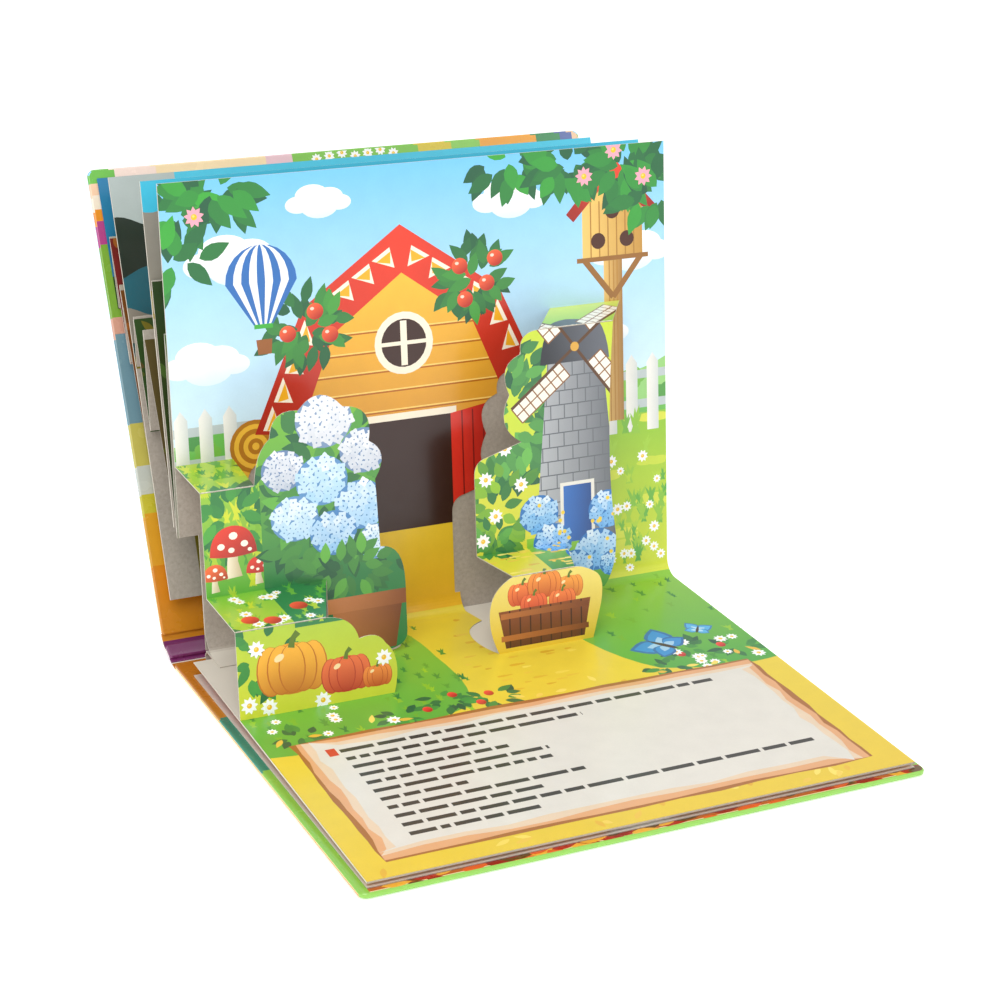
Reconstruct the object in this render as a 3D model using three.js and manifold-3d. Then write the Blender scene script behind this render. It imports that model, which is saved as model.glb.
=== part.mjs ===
import * as THREE from 'three';
import { mergeVertices } from 'three/addons/utils/BufferGeometryUtils.js';
import Module from 'manifold-3d';

// A landscape pop-up book that lies on its back cover, opened about a right angle at its fourth spread.
// Millimetres, +X along the spine to the reader's right, +Y towards the spine, +Z up.
// The origin is under the middle of the open book, on the surface that it stands on.
//
// The case is two boards and a spine board, hinged at two creases of their wrap.
// The pages are five printed cards, each folded once and die-cut, glued back to back into one block.
// Every stair and tower that pops up is cut from its own card and joined to it at folds, so that it
// folds flat with the page: its treads run with the lower page and its risers with the upper page.

// Card and board
const cardThickness = 0.4;
const boardThickness = 2;
const glueOverlap = 0.02;
const smallestDetail = 1e-3;
const foldRadius = 0.3;
const foldInset = 0.3;
const gutterRadius = 0.45;
const gutterLap = 3;

// Pages, measured flat: along the spine, and from the gutter to the free edge
const leafWidth = 222;
const leafDepth = 190;

// Case, with the wrap's flat stretch beside the back crease counted with the back board
const coverEndMargin = 4;
const coverRootMargin = 4.5;
const coverSideMargin = 3.6;
const coverDepth = coverRootMargin + leafDepth + coverEndMargin;
const hingeAllowance = 4;
const coverCornerRadius = 2.5;
const spineWidth = 13.4;
const creaseGap = 0.3;
const backCreaseY = 9.2;
const pageGap = 0.1;

// Opening angles in degrees: the spine above the table, and each upright board or leaf from upright
const spineSlope = 22;
const frontCoverLean = 25.5;
const leafALean = 22.3;
const leafBLean = 12.6;
const leafCLean = 6.2;

// Where the leaves meet the gutter and the spine
const gutterHeight = 8.6;
const leafDFrontHeight = 4.4;
const leafBSetback = 1.2;
const leafAPlace = { y: 14.5, z: 9.8 };
const softFoldSag = 1.5;
const lastGutterBulge = 2.2;

// The open spread's stair at the left edge: how far each tread runs out and each riser goes up,
// then where each fold ends along the spine, and the bush that stands and hangs on the high riser
const stair = { highTread: 30.5, lowTread: 33, highRiser: 42.5, lowRiser: 35.5 };
const stairRight = { pageFold: 24, highEdge: 22, lowInner: 50, lowEdge: 37, foot: 64 };
const bush = { right: 84, rise: 33, hang: 33.5 };

// The open spread's tower at the right
const tower = { highTread: 24, lowTread: 24, highRiser: 92, lowRiser: 32 };
const towerLeft = { pageFold: 167, highEdge: 150, lowInner: 119, lowEdge: 124, foot: 117 };
const towerRight = { pageFold: 200, highEdge: 184, lowInner: 160, lowEdge: 152, foot: 160 };
const trunk = { right: 184, hang: 22 };

// The bare strip that bridges the gutter inside the stair's opening
const bridge = { left: 8, right: 80, radius: 12, high: 36, low: 17 };

// Openings at the left edge, left by what the closed spreads cut out of their own cards
const notchC = { width: 8, length: 48.7 };
const notchB = { width: 14, length: 52 };
const notchA = { width: 20, length: 15.4 };
const notchD = { width: 8, length: 8 };
const liningNotchWidth = 20;

// Stairs at the left and towers at the right of the closed spreads, folded between their leaves
const closed = {
  first: [
    { left: 0, right: 20, highTread: 30, lowTread: 33, highRiser: 53, lowRiser: 82 },
    { left: 128, right: 176, highTread: 26, lowTread: 30, highRiser: 70, lowRiser: 50 },
  ],
  second: [
    { left: 0, right: 14, highTread: 22, lowTread: 42, highRiser: 46, lowRiser: 65 },
    { left: 140, right: 192, highTread: 24, lowTread: 34, highRiser: 84, lowRiser: 40 },
  ],
  third: [
    { left: 0, right: 12.5, highTread: 15, lowTread: 83, highRiser: 103, lowRiser: 33 },
    { left: 116, right: 170, highTread: 28, lowTread: 26, highRiser: 76, lowRiser: 44 },
  ],
  fifth: [
    { left: 10, right: 60, highTread: 22, lowTread: 34, highRiser: 44, lowRiser: 46 },
    { left: 124, right: 178, highTread: 26, lowTread: 28, highRiser: 74, lowRiser: 42 },
  ],
};

const wasm = await Module();
wasm.setup();

const rad = (degrees) => (degrees * Math.PI) / 180;

function toSolid(geometry) {
  const bare = geometry.clone();
  bare.deleteAttribute('normal');
  bare.deleteAttribute('uv');
  const merged = mergeVertices(bare, 1e-4);
  return new wasm.Manifold(new wasm.Mesh({
    numProp: 3,
    vertProperties: new Float32Array(merged.attributes.position.array),
    triVerts: new Uint32Array(merged.index.array),
  }));
}

function toGeometry(solid) {
  const mesh = solid.getMesh();
  const joinedMesh = new THREE.BufferGeometry();
  joinedMesh.setAttribute('position', new THREE.BufferAttribute(mesh.vertProperties, 3));
  joinedMesh.setIndex(new THREE.BufferAttribute(mesh.triVerts, 1));
  const geometry = withoutNeedles(mergeVertices(joinedMesh, smallestDetail));
  geometry.computeVertexNormals();
  return geometry;
}

// Joins leave needles where nearly level faces cross. Each needle's long edge is swapped for the
// other diagonal of the two triangles that share it, which moves no vertex.
function withoutNeedles(geometry) {
  const position = geometry.attributes.position;
  const vertex = (i) => new THREE.Vector3().fromBufferAttribute(position, i);
  const distance = (i, j) => vertex(i).distanceTo(vertex(j));
  const corners = (triangle) => [0, 1, 2].map((i) => [0, 1, 2].map((j) => triangle[(i + j) % 3]));
  const area = ([a, b, c]) => new THREE.Triangle(vertex(a), vertex(b), vertex(c)).getArea();
  const longestFirst = (triangle) => corners(triangle).sort((s, t) => distance(t[0], t[1]) - distance(s[0], s[1]))[0];
  let triangles = [];
  for (let i = 0; i < geometry.index.count; i += 3) {
    const triangle = [0, 1, 2].map((j) => geometry.index.getX(i + j));
    if (new Set(triangle).size === 3) {
      triangles.push(longestFirst(triangle));
    }
  }
  for (let pass = 0; pass < 12; pass += 1) {
    const owner = new Map();
    triangles.forEach((triangle, t) => corners(triangle).forEach(([a, b]) => owner.set(`${a},${b}`, t)));
    const touched = new Set();
    const swapped = [];
    triangles.forEach((needle, t) => {
      const [p, q, r] = needle;
      const other = owner.get(`${q},${p}`);
      const thin = 2 * area(needle) < smallestDetail * distance(p, q);
      if (!thin || touched.has(t) || touched.has(other)) {
        return;
      }
      const s = triangles[other].find((i) => i !== p && i !== q);
      touched.add(t).add(other);
      if (r !== s) {
        swapped.push([r, p, s], [s, q, r]);
      }
    });
    if (touched.size === 0) {
      break;
    }
    triangles = triangles.filter((triangle, t) => !touched.has(t)).concat(swapped.map(longestFirst));
  }
  const tidy = new THREE.BufferGeometry();
  tidy.setAttribute('position', position);
  tidy.setIndex(triangles.flat());
  return tidy;
}

function joined(solids) {
  return solids.reduce((whole, next) => whole.add(next));
}

// Section points and directions are { y, z } in the plane across the spine.
const section = (y, z) => ({ y, z });
const leaning = (degrees) => section(Math.sin(rad(degrees)), Math.cos(rad(degrees)));
const inward = (direction) => section(-direction.z, direction.y);
const along = (point, direction, distance) => section(
  point.y + direction.y * distance,
  point.z + direction.z * distance,
);
const between = (a, b, share) => section(a.y + (b.y - a.y) * share, a.z + (b.z - a.z) * share);

// A flat outline from a list of [x, v] corners
function outline(corners) {
  const shape = new THREE.Shape();
  corners.forEach(([x, v], i) => (i === 0 ? shape.moveTo(x, v) : shape.lineTo(x, v)));
  shape.closePath();
  return shape;
}

const rectangle = (x0, v0, x1, v1) => outline([[x0, v0], [x1, v0], [x1, v1], [x0, v1]]);

// A leaf's outline from the gutter to its free edge, less a notch at the left of its root
const notched = (notch) => outline([
  [notch.width, 0], [leafWidth, 0], [leafWidth, leafDepth],
  [0, leafDepth], [0, notch.length], [notch.width, notch.length],
]);

// A card lies flat at first, with x along the spine, v away from the gutter and print on +Z.
function flatCard(shape, thickness = cardThickness, behind = 0) {
  const card = new THREE.ExtrudeGeometry(shape, { depth: thickness, bevelEnabled: false, curveSegments: 6 });
  card.translate(0, 0, -thickness / 2 - behind);
  return card;
}

// Puts a flat card's line v = fold on a section point, with +v pointing up by the angle.
function place(card, fold, point, angle) {
  const placed = card.clone();
  placed.translate(0, -fold, 0);
  placed.rotateX(angle);
  placed.translate(0, point.y, point.z);
  return toSolid(placed);
}

// A section outline drawn in (y, z), run along the spine from x0 to x1
function runAlongSpine(shape, x0, x1, curveSegments = 8) {
  const solid = new THREE.ExtrudeGeometry(shape, { depth: x1 - x0, bevelEnabled: false, curveSegments });
  solid.rotateY(Math.PI / 2);
  solid.rotateX(Math.PI / 2);
  solid.translate(x0, 0, 0);
  return solid;
}

// The rounded back of a fold, a little shorter than the edges that it joins
function foldRod(x0, x1, point, radius = foldRadius) {
  const rod = new THREE.CylinderGeometry(radius, radius, x1 - x0 - 2 * foldInset, 8);
  rod.rotateZ(-Math.PI / 2);
  rod.translate((x0 + x1) / 2, point.y, point.z);
  return toSolid(rod);
}

// A band of card seen edge on: it follows the section points, round outside each fold.
function foldedBand(points, x0, x1) {
  const half = cardThickness / 2;
  const shape = new THREE.Shape();
  const reversed = [...points].reverse();
  const heading = (a, b) => Math.atan2(b.z - a.z, b.y - a.y);
  const corner = (point, angle, reach, first) => {
    const at = [point.y + reach * Math.cos(angle), point.z + reach * Math.sin(angle)];
    return first ? shape.moveTo(...at) : shape.lineTo(...at);
  };
  [points, reversed].forEach((path, side) => path.forEach((point, i) => {
    const last = i === path.length - 1;
    const before = i === 0 ? heading(point, path[1]) : heading(path[i - 1], point);
    const after = last ? before : heading(point, path[i + 1]);
    const turn = Math.atan2(Math.sin(after - before), Math.cos(after - before));
    const leftOf = before + Math.PI / 2;
    if (turn < 0) {
      shape.absarc(point.y, point.z, half, leftOf, leftOf + turn, true);
    } else {
      corner(point, leftOf + turn / 2, half / Math.cos(turn / 2), side === 0 && i === 0);
    }
  }));
  shape.closePath();
  return toSolid(runAlongSpine(shape, x0 + foldInset, x1 - foldInset, 4));
}

// Each leaf is a line in section: where it starts and which way it runs from there.
const lyingAngle = Math.asin((gutterHeight - leafDFrontHeight) / leafDepth);
const gutter = section(0, gutterHeight);
const lastPageHeight = boardThickness + pageGap + cardThickness / 2;
const backCrease = section(backCreaseY, 0);
const frontCrease = along(backCrease, leaning(90 - spineSlope), spineWidth);
const coverUp = leaning(frontCoverLean);
const liningFace = boardThickness + cardThickness + creaseGap + foldRadius;
const leafA = { root: section(leafAPlace.y, leafAPlace.z), direction: leaning(leafALean) };
const leafB = { root: section(leafBSetback, gutterHeight - cardThickness), direction: leaning(leafBLean) };
const leafC = { root: gutter, direction: leaning(leafCLean) };
const leafD = { root: gutter, direction: section(-Math.cos(lyingAngle), -Math.sin(lyingAngle)) };
const underD = { root: section(0, gutterHeight - cardThickness), direction: leafD.direction };
const lastPage = { root: section(0, lastPageHeight), direction: section(-1, 0) };
const aboveLastPage = { root: section(0, lastPageHeight + cardThickness / 4), direction: section(-1, 0) };
const insideCover = {
  root: along(along(frontCrease, inward(coverUp), liningFace), coverUp, coverRootMargin),
  direction: coverUp,
};
const uprightAngle = (leaf) => Math.atan2(leaf.direction.z, leaf.direction.y);

// Where a pop-up's folds lie on its flat card, from its foot on the lower page to the upper page
function foldLines(size) {
  const foot = -(size.highTread + size.lowTread);
  const lowEdge = foot + size.lowRiser;
  const lowInner = lowEdge + size.lowTread;
  const highEdge = lowInner + size.highRiser;
  return { foot, lowEdge, lowInner, highEdge, pageFold: highEdge + size.highTread };
}

// The same folds with the spread opened to any angle: treads keep the direction of the low leaf and
// risers that of the high leaf. Where the leaves' roots lie apart, the folds share the difference.
function foldPlaces(size, low, high) {
  const at = (alongLow, alongHigh) => between(
    along(low.root, low.direction, alongLow + alongHigh),
    along(high.root, high.direction, alongLow + alongHigh),
    alongHigh / (alongLow + alongHigh),
  );
  return {
    foot: at(size.highTread + size.lowTread, 0),
    lowEdge: at(size.highTread + size.lowTread, size.lowRiser),
    lowInner: at(size.highTread, size.lowRiser),
    highEdge: at(size.highTread, size.lowRiser + size.highRiser),
    pageFold: at(0, size.lowRiser + size.highRiser),
  };
}

// A tread is cut with four corners: its front edge first, then its back edge.
const tread = (left, right, flat, front, back) => outline([
  [left[front], flat[front]], [right[front], flat[front]],
  [right[back], flat[back]], [left[back], flat[back]],
]);

// The stair's high riser: a round bush stands above its fold and hangs beside the low tread.
function stairHighRiser(flat) {
  const top = flat.highEdge;
  const bottom = flat.lowInner;
  const { right, rise, hang } = bush;
  const inner = stairRight.lowInner;
  const lobe = (right - stairRight.highEdge) / 6;
  const shape = new THREE.Shape();
  shape.moveTo(0, bottom);
  shape.lineTo(inner, bottom);
  shape.lineTo(inner, bottom - hang / 2);
  shape.quadraticCurveTo(inner + 1, bottom - hang, inner + lobe, bottom - hang);
  shape.lineTo(right - lobe, bottom - hang);
  shape.quadraticCurveTo(right, bottom - hang, right, bottom - hang * 0.8);
  shape.lineTo(right, bottom - hang * 0.2);
  shape.quadraticCurveTo(right, bottom + lobe, right - lobe, bottom + lobe);
  shape.lineTo(right - lobe * 1.1, top - 4);
  shape.quadraticCurveTo(right - lobe * 0.4, top + rise * 0.2, right - lobe * 1.3, top + rise * 0.36);
  shape.quadraticCurveTo(right - lobe, top + rise * 0.8, right - lobe * 2.3, top + rise * 0.82);
  shape.quadraticCurveTo(right - lobe * 3.2, top + rise * 1.16, right - lobe * 4.1, top + rise * 0.84);
  shape.quadraticCurveTo(right - lobe * 5.2, top + rise * 0.9, right - lobe * 5.3, top + rise * 0.54);
  shape.quadraticCurveTo(right - lobe * 5.9, top + rise * 0.4, stairRight.highEdge, top);
  shape.lineTo(0, top);
  shape.closePath();
  return shape;
}

// The stair's low riser: its right end steps down in round lobes.
function stairLowRiser(flat) {
  const top = flat.lowEdge;
  const edge = stairRight.lowEdge;
  const foot = stairRight.foot;
  const rise = stair.lowRiser;
  const shape = new THREE.Shape();
  shape.moveTo(0, flat.foot);
  shape.lineTo(foot, flat.foot);
  shape.quadraticCurveTo(foot + 4, top - rise * 0.58, foot - 3, top - rise * 0.4);
  shape.quadraticCurveTo(foot - 6, top - rise * 0.24, foot - 14, top - rise * 0.3);
  shape.quadraticCurveTo(edge + 11, top - rise * 0.03, edge, top);
  shape.lineTo(0, top);
  shape.closePath();
  return shape;
}

// The tower's high riser: a tree's crown at the upper left, a bank below it, and a trunk foot that
// hangs at the right beside the low tread
function towerHighRiser(flat) {
  const top = flat.highEdge;
  const bottom = flat.lowInner;
  const rise = tower.highRiser;
  const left = towerLeft.lowInner;
  const crown = towerLeft.highEdge - left;
  const inner = towerRight.lowInner;
  const { right, hang } = trunk;
  const shape = new THREE.Shape();
  shape.moveTo(left, bottom);
  shape.lineTo(inner, bottom);
  shape.lineTo(inner + 4, bottom - hang * 0.8);
  shape.quadraticCurveTo(inner + 9, bottom - hang, right - 6, bottom - hang);
  shape.quadraticCurveTo(right, bottom - hang * 0.7, right, bottom);
  shape.quadraticCurveTo(right - 5, bottom + rise * 0.35, towerRight.highEdge, top);
  shape.lineTo(towerLeft.highEdge, top);
  shape.quadraticCurveTo(left + crown * 0.68, top, left + crown * 0.72, top - rise * 0.1);
  shape.quadraticCurveTo(left + crown * 0.36, top - rise * 0.14, left + crown * 0.54, top - rise * 0.28);
  shape.quadraticCurveTo(left + crown * 0.3, top - rise * 0.42, left + crown * 0.7, top - rise * 0.5);
  shape.lineTo(left + 6, top - rise * 0.55);
  shape.quadraticCurveTo(left, top - rise * 0.56, left, top - rise * 0.63);
  shape.closePath();
  return shape;
}

// The tower's low riser: a rounded front like a heap of round fruit
function towerLowRiser(flat) {
  const top = flat.lowEdge;
  const foot = flat.foot;
  const rise = tower.lowRiser;
  const shape = new THREE.Shape();
  shape.moveTo(towerLeft.foot, foot);
  shape.lineTo(towerRight.foot, foot);
  shape.lineTo(towerRight.foot + 3, foot + rise * 0.35);
  shape.quadraticCurveTo(towerRight.foot + 7, top - rise * 0.2, towerRight.foot + 1, top - rise * 0.1);
  shape.quadraticCurveTo(towerRight.lowEdge + 4, top, towerRight.lowEdge, top);
  shape.lineTo(towerLeft.lowEdge, top);
  shape.quadraticCurveTo(towerLeft.foot - 1, top - rise * 0.1, towerLeft.foot - 3, top - rise * 0.3);
  shape.quadraticCurveTo(towerLeft.foot - 6, foot + rise * 0.4, towerLeft.foot, foot);
  return shape;
}

// The four panels of each pop-up on the open spread, on their flat card
const stairLeft = { pageFold: 0, highEdge: 0, lowInner: 0, lowEdge: 0, foot: 0 };
const stairFlat = foldLines(stair);
const towerFlat = foldLines(tower);
const stairPanels = {
  pageFold: tread(stairLeft, stairRight, stairFlat, 'highEdge', 'pageFold'),
  highEdge: stairHighRiser(stairFlat),
  lowInner: tread(stairLeft, stairRight, stairFlat, 'lowEdge', 'lowInner'),
  lowEdge: stairLowRiser(stairFlat),
};
const towerPanels = {
  pageFold: tread(towerLeft, towerRight, towerFlat, 'highEdge', 'pageFold'),
  highEdge: towerHighRiser(towerFlat),
  lowInner: tread(towerLeft, towerRight, towerFlat, 'lowEdge', 'lowInner'),
  lowEdge: towerLowRiser(towerFlat),
};

// An open pop-up: each panel hangs from the fold that it is named after.
function popUp(size, panels, left, right) {
  const flat = foldLines(size);
  const places = foldPlaces(size, leafD, leafC);
  const lying = lyingAngle;
  const upright = uprightAngle(leafC);
  const slopes = { pageFold: lying, highEdge: upright, lowInner: lying, lowEdge: upright };
  const cards = Object.keys(panels).map((name) => (
    place(flatCard(panels[name]), flat[name], places[name], slopes[name])
  ));
  const folds = Object.keys(flat).map((name) => foldRod(left[name], right[name], places[name]));
  return joined([...cards, ...folds]);
}

// A closed spread's pop-up: the same four panels as one folded band
function foldedPopUp(size, low, high) {
  const places = foldPlaces(size, low, high);
  const chain = [places.foot, places.lowEdge, places.lowInner, places.highEdge, places.pageFold];
  return foldedBand(chain, size.left, size.right);
}

const foldedPopUps = (sizes, low, high) => joined(sizes.map((size) => foldedPopUp(size, low, high)));

// The open spread's card, with everything that pops up cut out of it
function openCard() {
  const cutter = 4 * gutterRadius;
  const shapes = [...Object.values(stairPanels), ...Object.values(towerPanels)];
  const cutAt = (angle) => joined(shapes.map((shape) => place(flatCard(shape, cutter), 0, gutter, angle)));
  const upright = uprightAngle(leafC);
  const upper = place(flatCard(rectangle(0, 0, leafWidth, leafDepth)), 0, gutter, upright);
  const lower = place(flatCard(rectangle(0, -leafDepth, leafWidth, 0)), 0, gutter, lyingAngle);
  const fold = foldRod(0, leafWidth, gutter, gutterRadius);
  const cutUpright = cutAt(upright);
  const cutLying = cutAt(lyingAngle);
  return joined([
    upper.subtract(cutUpright),
    lower.subtract(cutLying),
    fold.subtract(cutUpright).subtract(cutLying),
  ]);
}

// A card's page glued to the back of another page
const backing = cardThickness - glueOverlap;

function backOfLeafC() {
  return place(flatCard(notched(notchC), cardThickness, backing), 0, gutter, uprightAngle(leafC));
}

function backOfLeafD() {
  const page = notched(notchD).getPoints().map((corner) => [corner.x, -corner.y]);
  return place(flatCard(outline(page), cardThickness, backing), 0, gutter, lyingAngle);
}

// Two pages glued back to back
function doubleLeaf(leaf, notch) {
  const card = flatCard(notched(notch), 2 * cardThickness);
  return place(card, 0, leaf.root, uprightAngle(leaf));
}

// The soft gutter folds: from leaf A to leaf B, from leaf A towards the front cover, and around the
// closed last spread
function gutterFolds() {
  const sag = section((leafA.root.y + leafB.root.y) / 2, Math.min(leafA.root.z, leafB.root.z) - softFoldSag);
  const bulge = section(lastGutterBulge, (gutterHeight + lastPageHeight) / 2);
  const upTheLeaf = (leaf) => along(leaf.root, leaf.direction, gutterLap);
  const second = [upTheLeaf(leafB), leafB.root, sag, leafA.root, upTheLeaf(leafA)];
  const first = [upTheLeaf(leafA), leafA.root, insideCover.root];
  const fifth = [upTheLeaf(underD), underD.root, bulge, lastPage.root, upTheLeaf(lastPage)];
  return joined([
    foldedBand(second, notchA.width, leafWidth),
    foldedBand(first, liningNotchWidth, leafWidth),
    foldRod(notchB.width, leafWidth, between(gutter, leafB.root, 0.5), gutterRadius),
    foldedBand(fifth, notchD.width, leafWidth),
  ]);
}

function lastPageOnCover() {
  const page = notched(notchD).getPoints().map((corner) => [corner.x, -corner.y]);
  return place(flatCard(outline(page)), 0, lastPage.root, 0);
}

// The bare strip across the gutter inside the stair's opening: flat on leaf D, round, up leaf C
function gutterBridge() {
  const turn = uprightAngle(leafC) - lyingAngle;
  const reach = bridge.radius / Math.tan((Math.PI - turn) / 2);
  const start = along(gutter, leafD.direction, reach);
  const centre = along(start, inward(section(-leafD.direction.y, -leafD.direction.z)), bridge.radius);
  const from = Math.atan2(start.z - centre.z, start.y - centre.y);
  const arc = new THREE.Shape();
  arc.absarc(centre.y, centre.z, bridge.radius + cardThickness / 2, from, from + turn, false);
  arc.absarc(centre.y, centre.z, bridge.radius - cardThickness / 2, from + turn, from, true);
  arc.closePath();
  const low = flatCard(rectangle(bridge.left, -bridge.low, bridge.right, -reach), cardThickness);
  const high = flatCard(rectangle(bridge.left, reach, bridge.right, bridge.high), cardThickness);
  return joined([
    place(low, 0, gutter, lyingAngle),
    toSolid(runAlongSpine(arc, bridge.left, bridge.right)),
    place(high, 0, gutter, uprightAngle(leafC)),
  ]);
}

function pages() {
  return toGeometry(joined([
    openCard(),
    popUp(stair, stairPanels, stairLeft, stairRight),
    popUp(tower, towerPanels, towerLeft, towerRight),
    gutterBridge(),
    backOfLeafC(),
    backOfLeafD(),
    doubleLeaf(leafB, notchB),
    doubleLeaf(leafA, notchA),
    lastPageOnCover(),
    gutterFolds(),
    foldedPopUps(closed.first, leafA, insideCover),
    foldedPopUps(closed.second, leafB, leafA),
    foldedPopUps(closed.third, leafC, leafB),
    foldedPopUps(closed.fifth, aboveLastPage, underD),
  ]));
}

// A board lies flat with its crease at v = 0, its outer face down and its inner edges mitred, so
// that it closes on its neighbour without touching it.
function board(depth, mitreAtRoot, mitreAtEnd = null) {
  const start = creaseGap / 2;
  const end = mitreAtEnd === null ? depth : depth - creaseGap / 2;
  const endSetback = mitreAtEnd === null ? 0 : boardThickness * Math.tan(mitreAtEnd);
  const profile = outline([
    [start, 0], [end, 0],
    [end - endSetback, boardThickness], [start + boardThickness * Math.tan(mitreAtRoot), boardThickness],
  ]);
  return toSolid(runAlongSpine(profile, -coverSideMargin, leafWidth + coverSideMargin));
}

// Rounds the two free corners of a cover board.
function roundCorners(blank, depth) {
  const x0 = -coverSideMargin;
  const x1 = leafWidth + coverSideMargin;
  const round = coverCornerRadius;
  const shape = new THREE.Shape();
  shape.moveTo(x0, 0);
  shape.lineTo(x1, 0);
  shape.absarc(x1 - round, depth - round, round, 0, Math.PI / 2, false);
  shape.absarc(x0 + round, depth - round, round, Math.PI / 2, Math.PI, false);
  shape.closePath();
  return blank.intersect(toSolid(flatCard(shape, 4 * boardThickness)));
}

const backMitre = rad(spineSlope) / 2;
const frontMitre = rad(90 - frontCoverLean - spineSlope) / 2;

function backBoard() {
  const depth = coverDepth + hingeAllowance;
  return toGeometry(roundCorners(board(depth, backMitre), depth));
}

function spineBoard() {
  return toGeometry(board(spineWidth, backMitre, frontMitre));
}

// The front board with the first card's upper page glued inside it, cut away where its stair stood
function frontBoard() {
  const blank = roundCorners(board(coverDepth, frontMitre), coverDepth);
  const [popUpSize] = closed.first;
  const notch = { width: liningNotchWidth, length: popUpSize.highRiser + popUpSize.lowRiser };
  const page = flatCard(notched(notch));
  page.translate(0, coverRootMargin, boardThickness + cardThickness / 2 - glueOverlap);
  return toGeometry(blank.add(toSolid(page)));
}

function finish(color, roughness) {
  return new THREE.MeshStandardMaterial({ color, roughness, metalness: 0 });
}

function part(name, geometry, material) {
  const mesh = new THREE.Mesh(geometry, material);
  mesh.name = name;
  return mesh;
}

// The book: the back board and pages are still, the spine turns on the back crease, and the front
// cover turns on the front crease.
const backEdge = backCreaseY - coverDepth - hingeAllowance;
const topEdge = along(frontCrease, coverUp, coverDepth).y;

const book = new THREE.Group();
book.position.set(-leafWidth / 2, -(backEdge + topEdge) / 2, 0);

const backCover = part('back_cover', backBoard(), finish('#c9822c', 0.35));
backCover.rotation.z = Math.PI;
backCover.position.set(leafWidth, backCreaseY, 0);
book.add(backCover);

book.add(part('pages', pages(), finish('#8fc9a0', 0.4)));

const spineHinge = new THREE.Group();
spineHinge.position.set(0, backCrease.y, backCrease.z);
spineHinge.rotation.x = rad(spineSlope);
spineHinge.add(part('spine', spineBoard(), finish('#6b2350', 0.35)));
book.add(spineHinge);

const frontHinge = new THREE.Group();
frontHinge.position.set(0, spineWidth, 0);
frontHinge.rotation.x = rad(90 - frontCoverLean - spineSlope);
frontHinge.add(part('front_cover', frontBoard(), finish('#2f8f74', 0.35)));
spineHinge.add(frontHinge);

export default book;
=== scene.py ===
import math
import random

import bpy
from mathutils import Matrix, Vector
from mathutils.geometry import delaunay_2d_cdt


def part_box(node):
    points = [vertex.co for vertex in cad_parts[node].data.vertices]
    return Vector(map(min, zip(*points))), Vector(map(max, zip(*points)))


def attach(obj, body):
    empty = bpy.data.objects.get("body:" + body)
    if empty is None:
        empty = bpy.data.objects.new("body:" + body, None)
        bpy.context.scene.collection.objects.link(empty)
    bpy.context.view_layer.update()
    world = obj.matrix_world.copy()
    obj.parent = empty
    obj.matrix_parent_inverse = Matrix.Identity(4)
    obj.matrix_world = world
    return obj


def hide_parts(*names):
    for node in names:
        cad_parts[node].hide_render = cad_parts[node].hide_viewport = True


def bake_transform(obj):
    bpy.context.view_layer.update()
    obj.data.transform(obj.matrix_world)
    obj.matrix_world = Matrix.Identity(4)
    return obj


# A landscape pop-up book on its back cover, opened about a right angle at its fourth spread.
# Sizes are millimetres in the book's own frame: x along the spine from the pages' left edge, y from
# the gutter towards the back, z up from the table. Prints are drawn flat, as they leave the press,
# in (x, v) with v from the gutter up the upper page, and are then folded into place.

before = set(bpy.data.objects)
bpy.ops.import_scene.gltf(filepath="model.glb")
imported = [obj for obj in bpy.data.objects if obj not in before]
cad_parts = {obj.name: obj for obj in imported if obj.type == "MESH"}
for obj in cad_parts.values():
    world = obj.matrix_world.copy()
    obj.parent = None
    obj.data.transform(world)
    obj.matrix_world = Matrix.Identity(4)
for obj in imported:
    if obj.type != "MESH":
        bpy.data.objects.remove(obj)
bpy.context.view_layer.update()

MM = 0.001

# Card, board and pages
CARD = 0.4
BOARD = 2.0
WIDTH = 222.0
DEPTH = 190.0
COVER_SIDE = 3.6
COVER_END = 4.0
COVER_ROOT = 4.5
COVER = COVER_ROOT + DEPTH + COVER_END
HINGE = 4.0
SPINE = 13.4
CREASE_Y = 9.2
CORNER = 2.5
EDGE_ROUND = 0.7

# Leaning angles from upright, and the spine's slope above the table
LEAN = {"cover": 25.5, "a": 22.3, "b": 12.6, "c": 6.2}
SPINE_SLOPE = 22.0
GUTTER_Z = 8.6
FRONT_Z = 4.4
LEAF_B_Y = 1.2
LEAF_A = (14.5, 9.8)

# The open spread's stair at the left and tower at the right, and where each fold starts and ends
STAIR = {"high_tread": 30.5, "low_tread": 33.0, "high_riser": 42.5, "low_riser": 35.5}
STAIR_RIGHT = {"page": 24.0, "high_edge": 22.0, "low_inner": 50.0, "low_edge": 37.0, "foot": 64.0}
BUSH = {"right": 84.0, "rise": 33.0, "hang": 33.5}
TOWER = {"high_tread": 24.0, "low_tread": 24.0, "high_riser": 92.0, "low_riser": 32.0}
TOWER_LEFT = {"page": 167.0, "high_edge": 150.0, "low_inner": 119.0, "low_edge": 124.0, "foot": 117.0}
TOWER_RIGHT = {"page": 200.0, "high_edge": 184.0, "low_inner": 160.0, "low_edge": 152.0, "foot": 160.0}
TRUNK = {"right": 184.0, "hang": 22.0}

# How far a print lies above its card, so that the ink never shares a plane with it
INK_LIFT = 0.04

# The frame's own place: its lowest corner is the pages' left edge and the back cover's front edge
ORIGIN = Vector((
    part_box("pages")[0][0] / MM,
    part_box("back_cover")[0][1] / MM + COVER + HINGE - CREASE_Y,
    0.0,
))


def at(x, y, z):
    """A point of the book's own frame as Blender's metres."""
    return (Vector((x, y, z)) + ORIGIN) * MM


# Section across the spine: points and directions are (y, z)

def leaning(degrees):
    return Vector((math.sin(math.radians(degrees)), math.cos(math.radians(degrees))))


def inward(direction):
    return Vector((-direction.y, direction.x))


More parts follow.
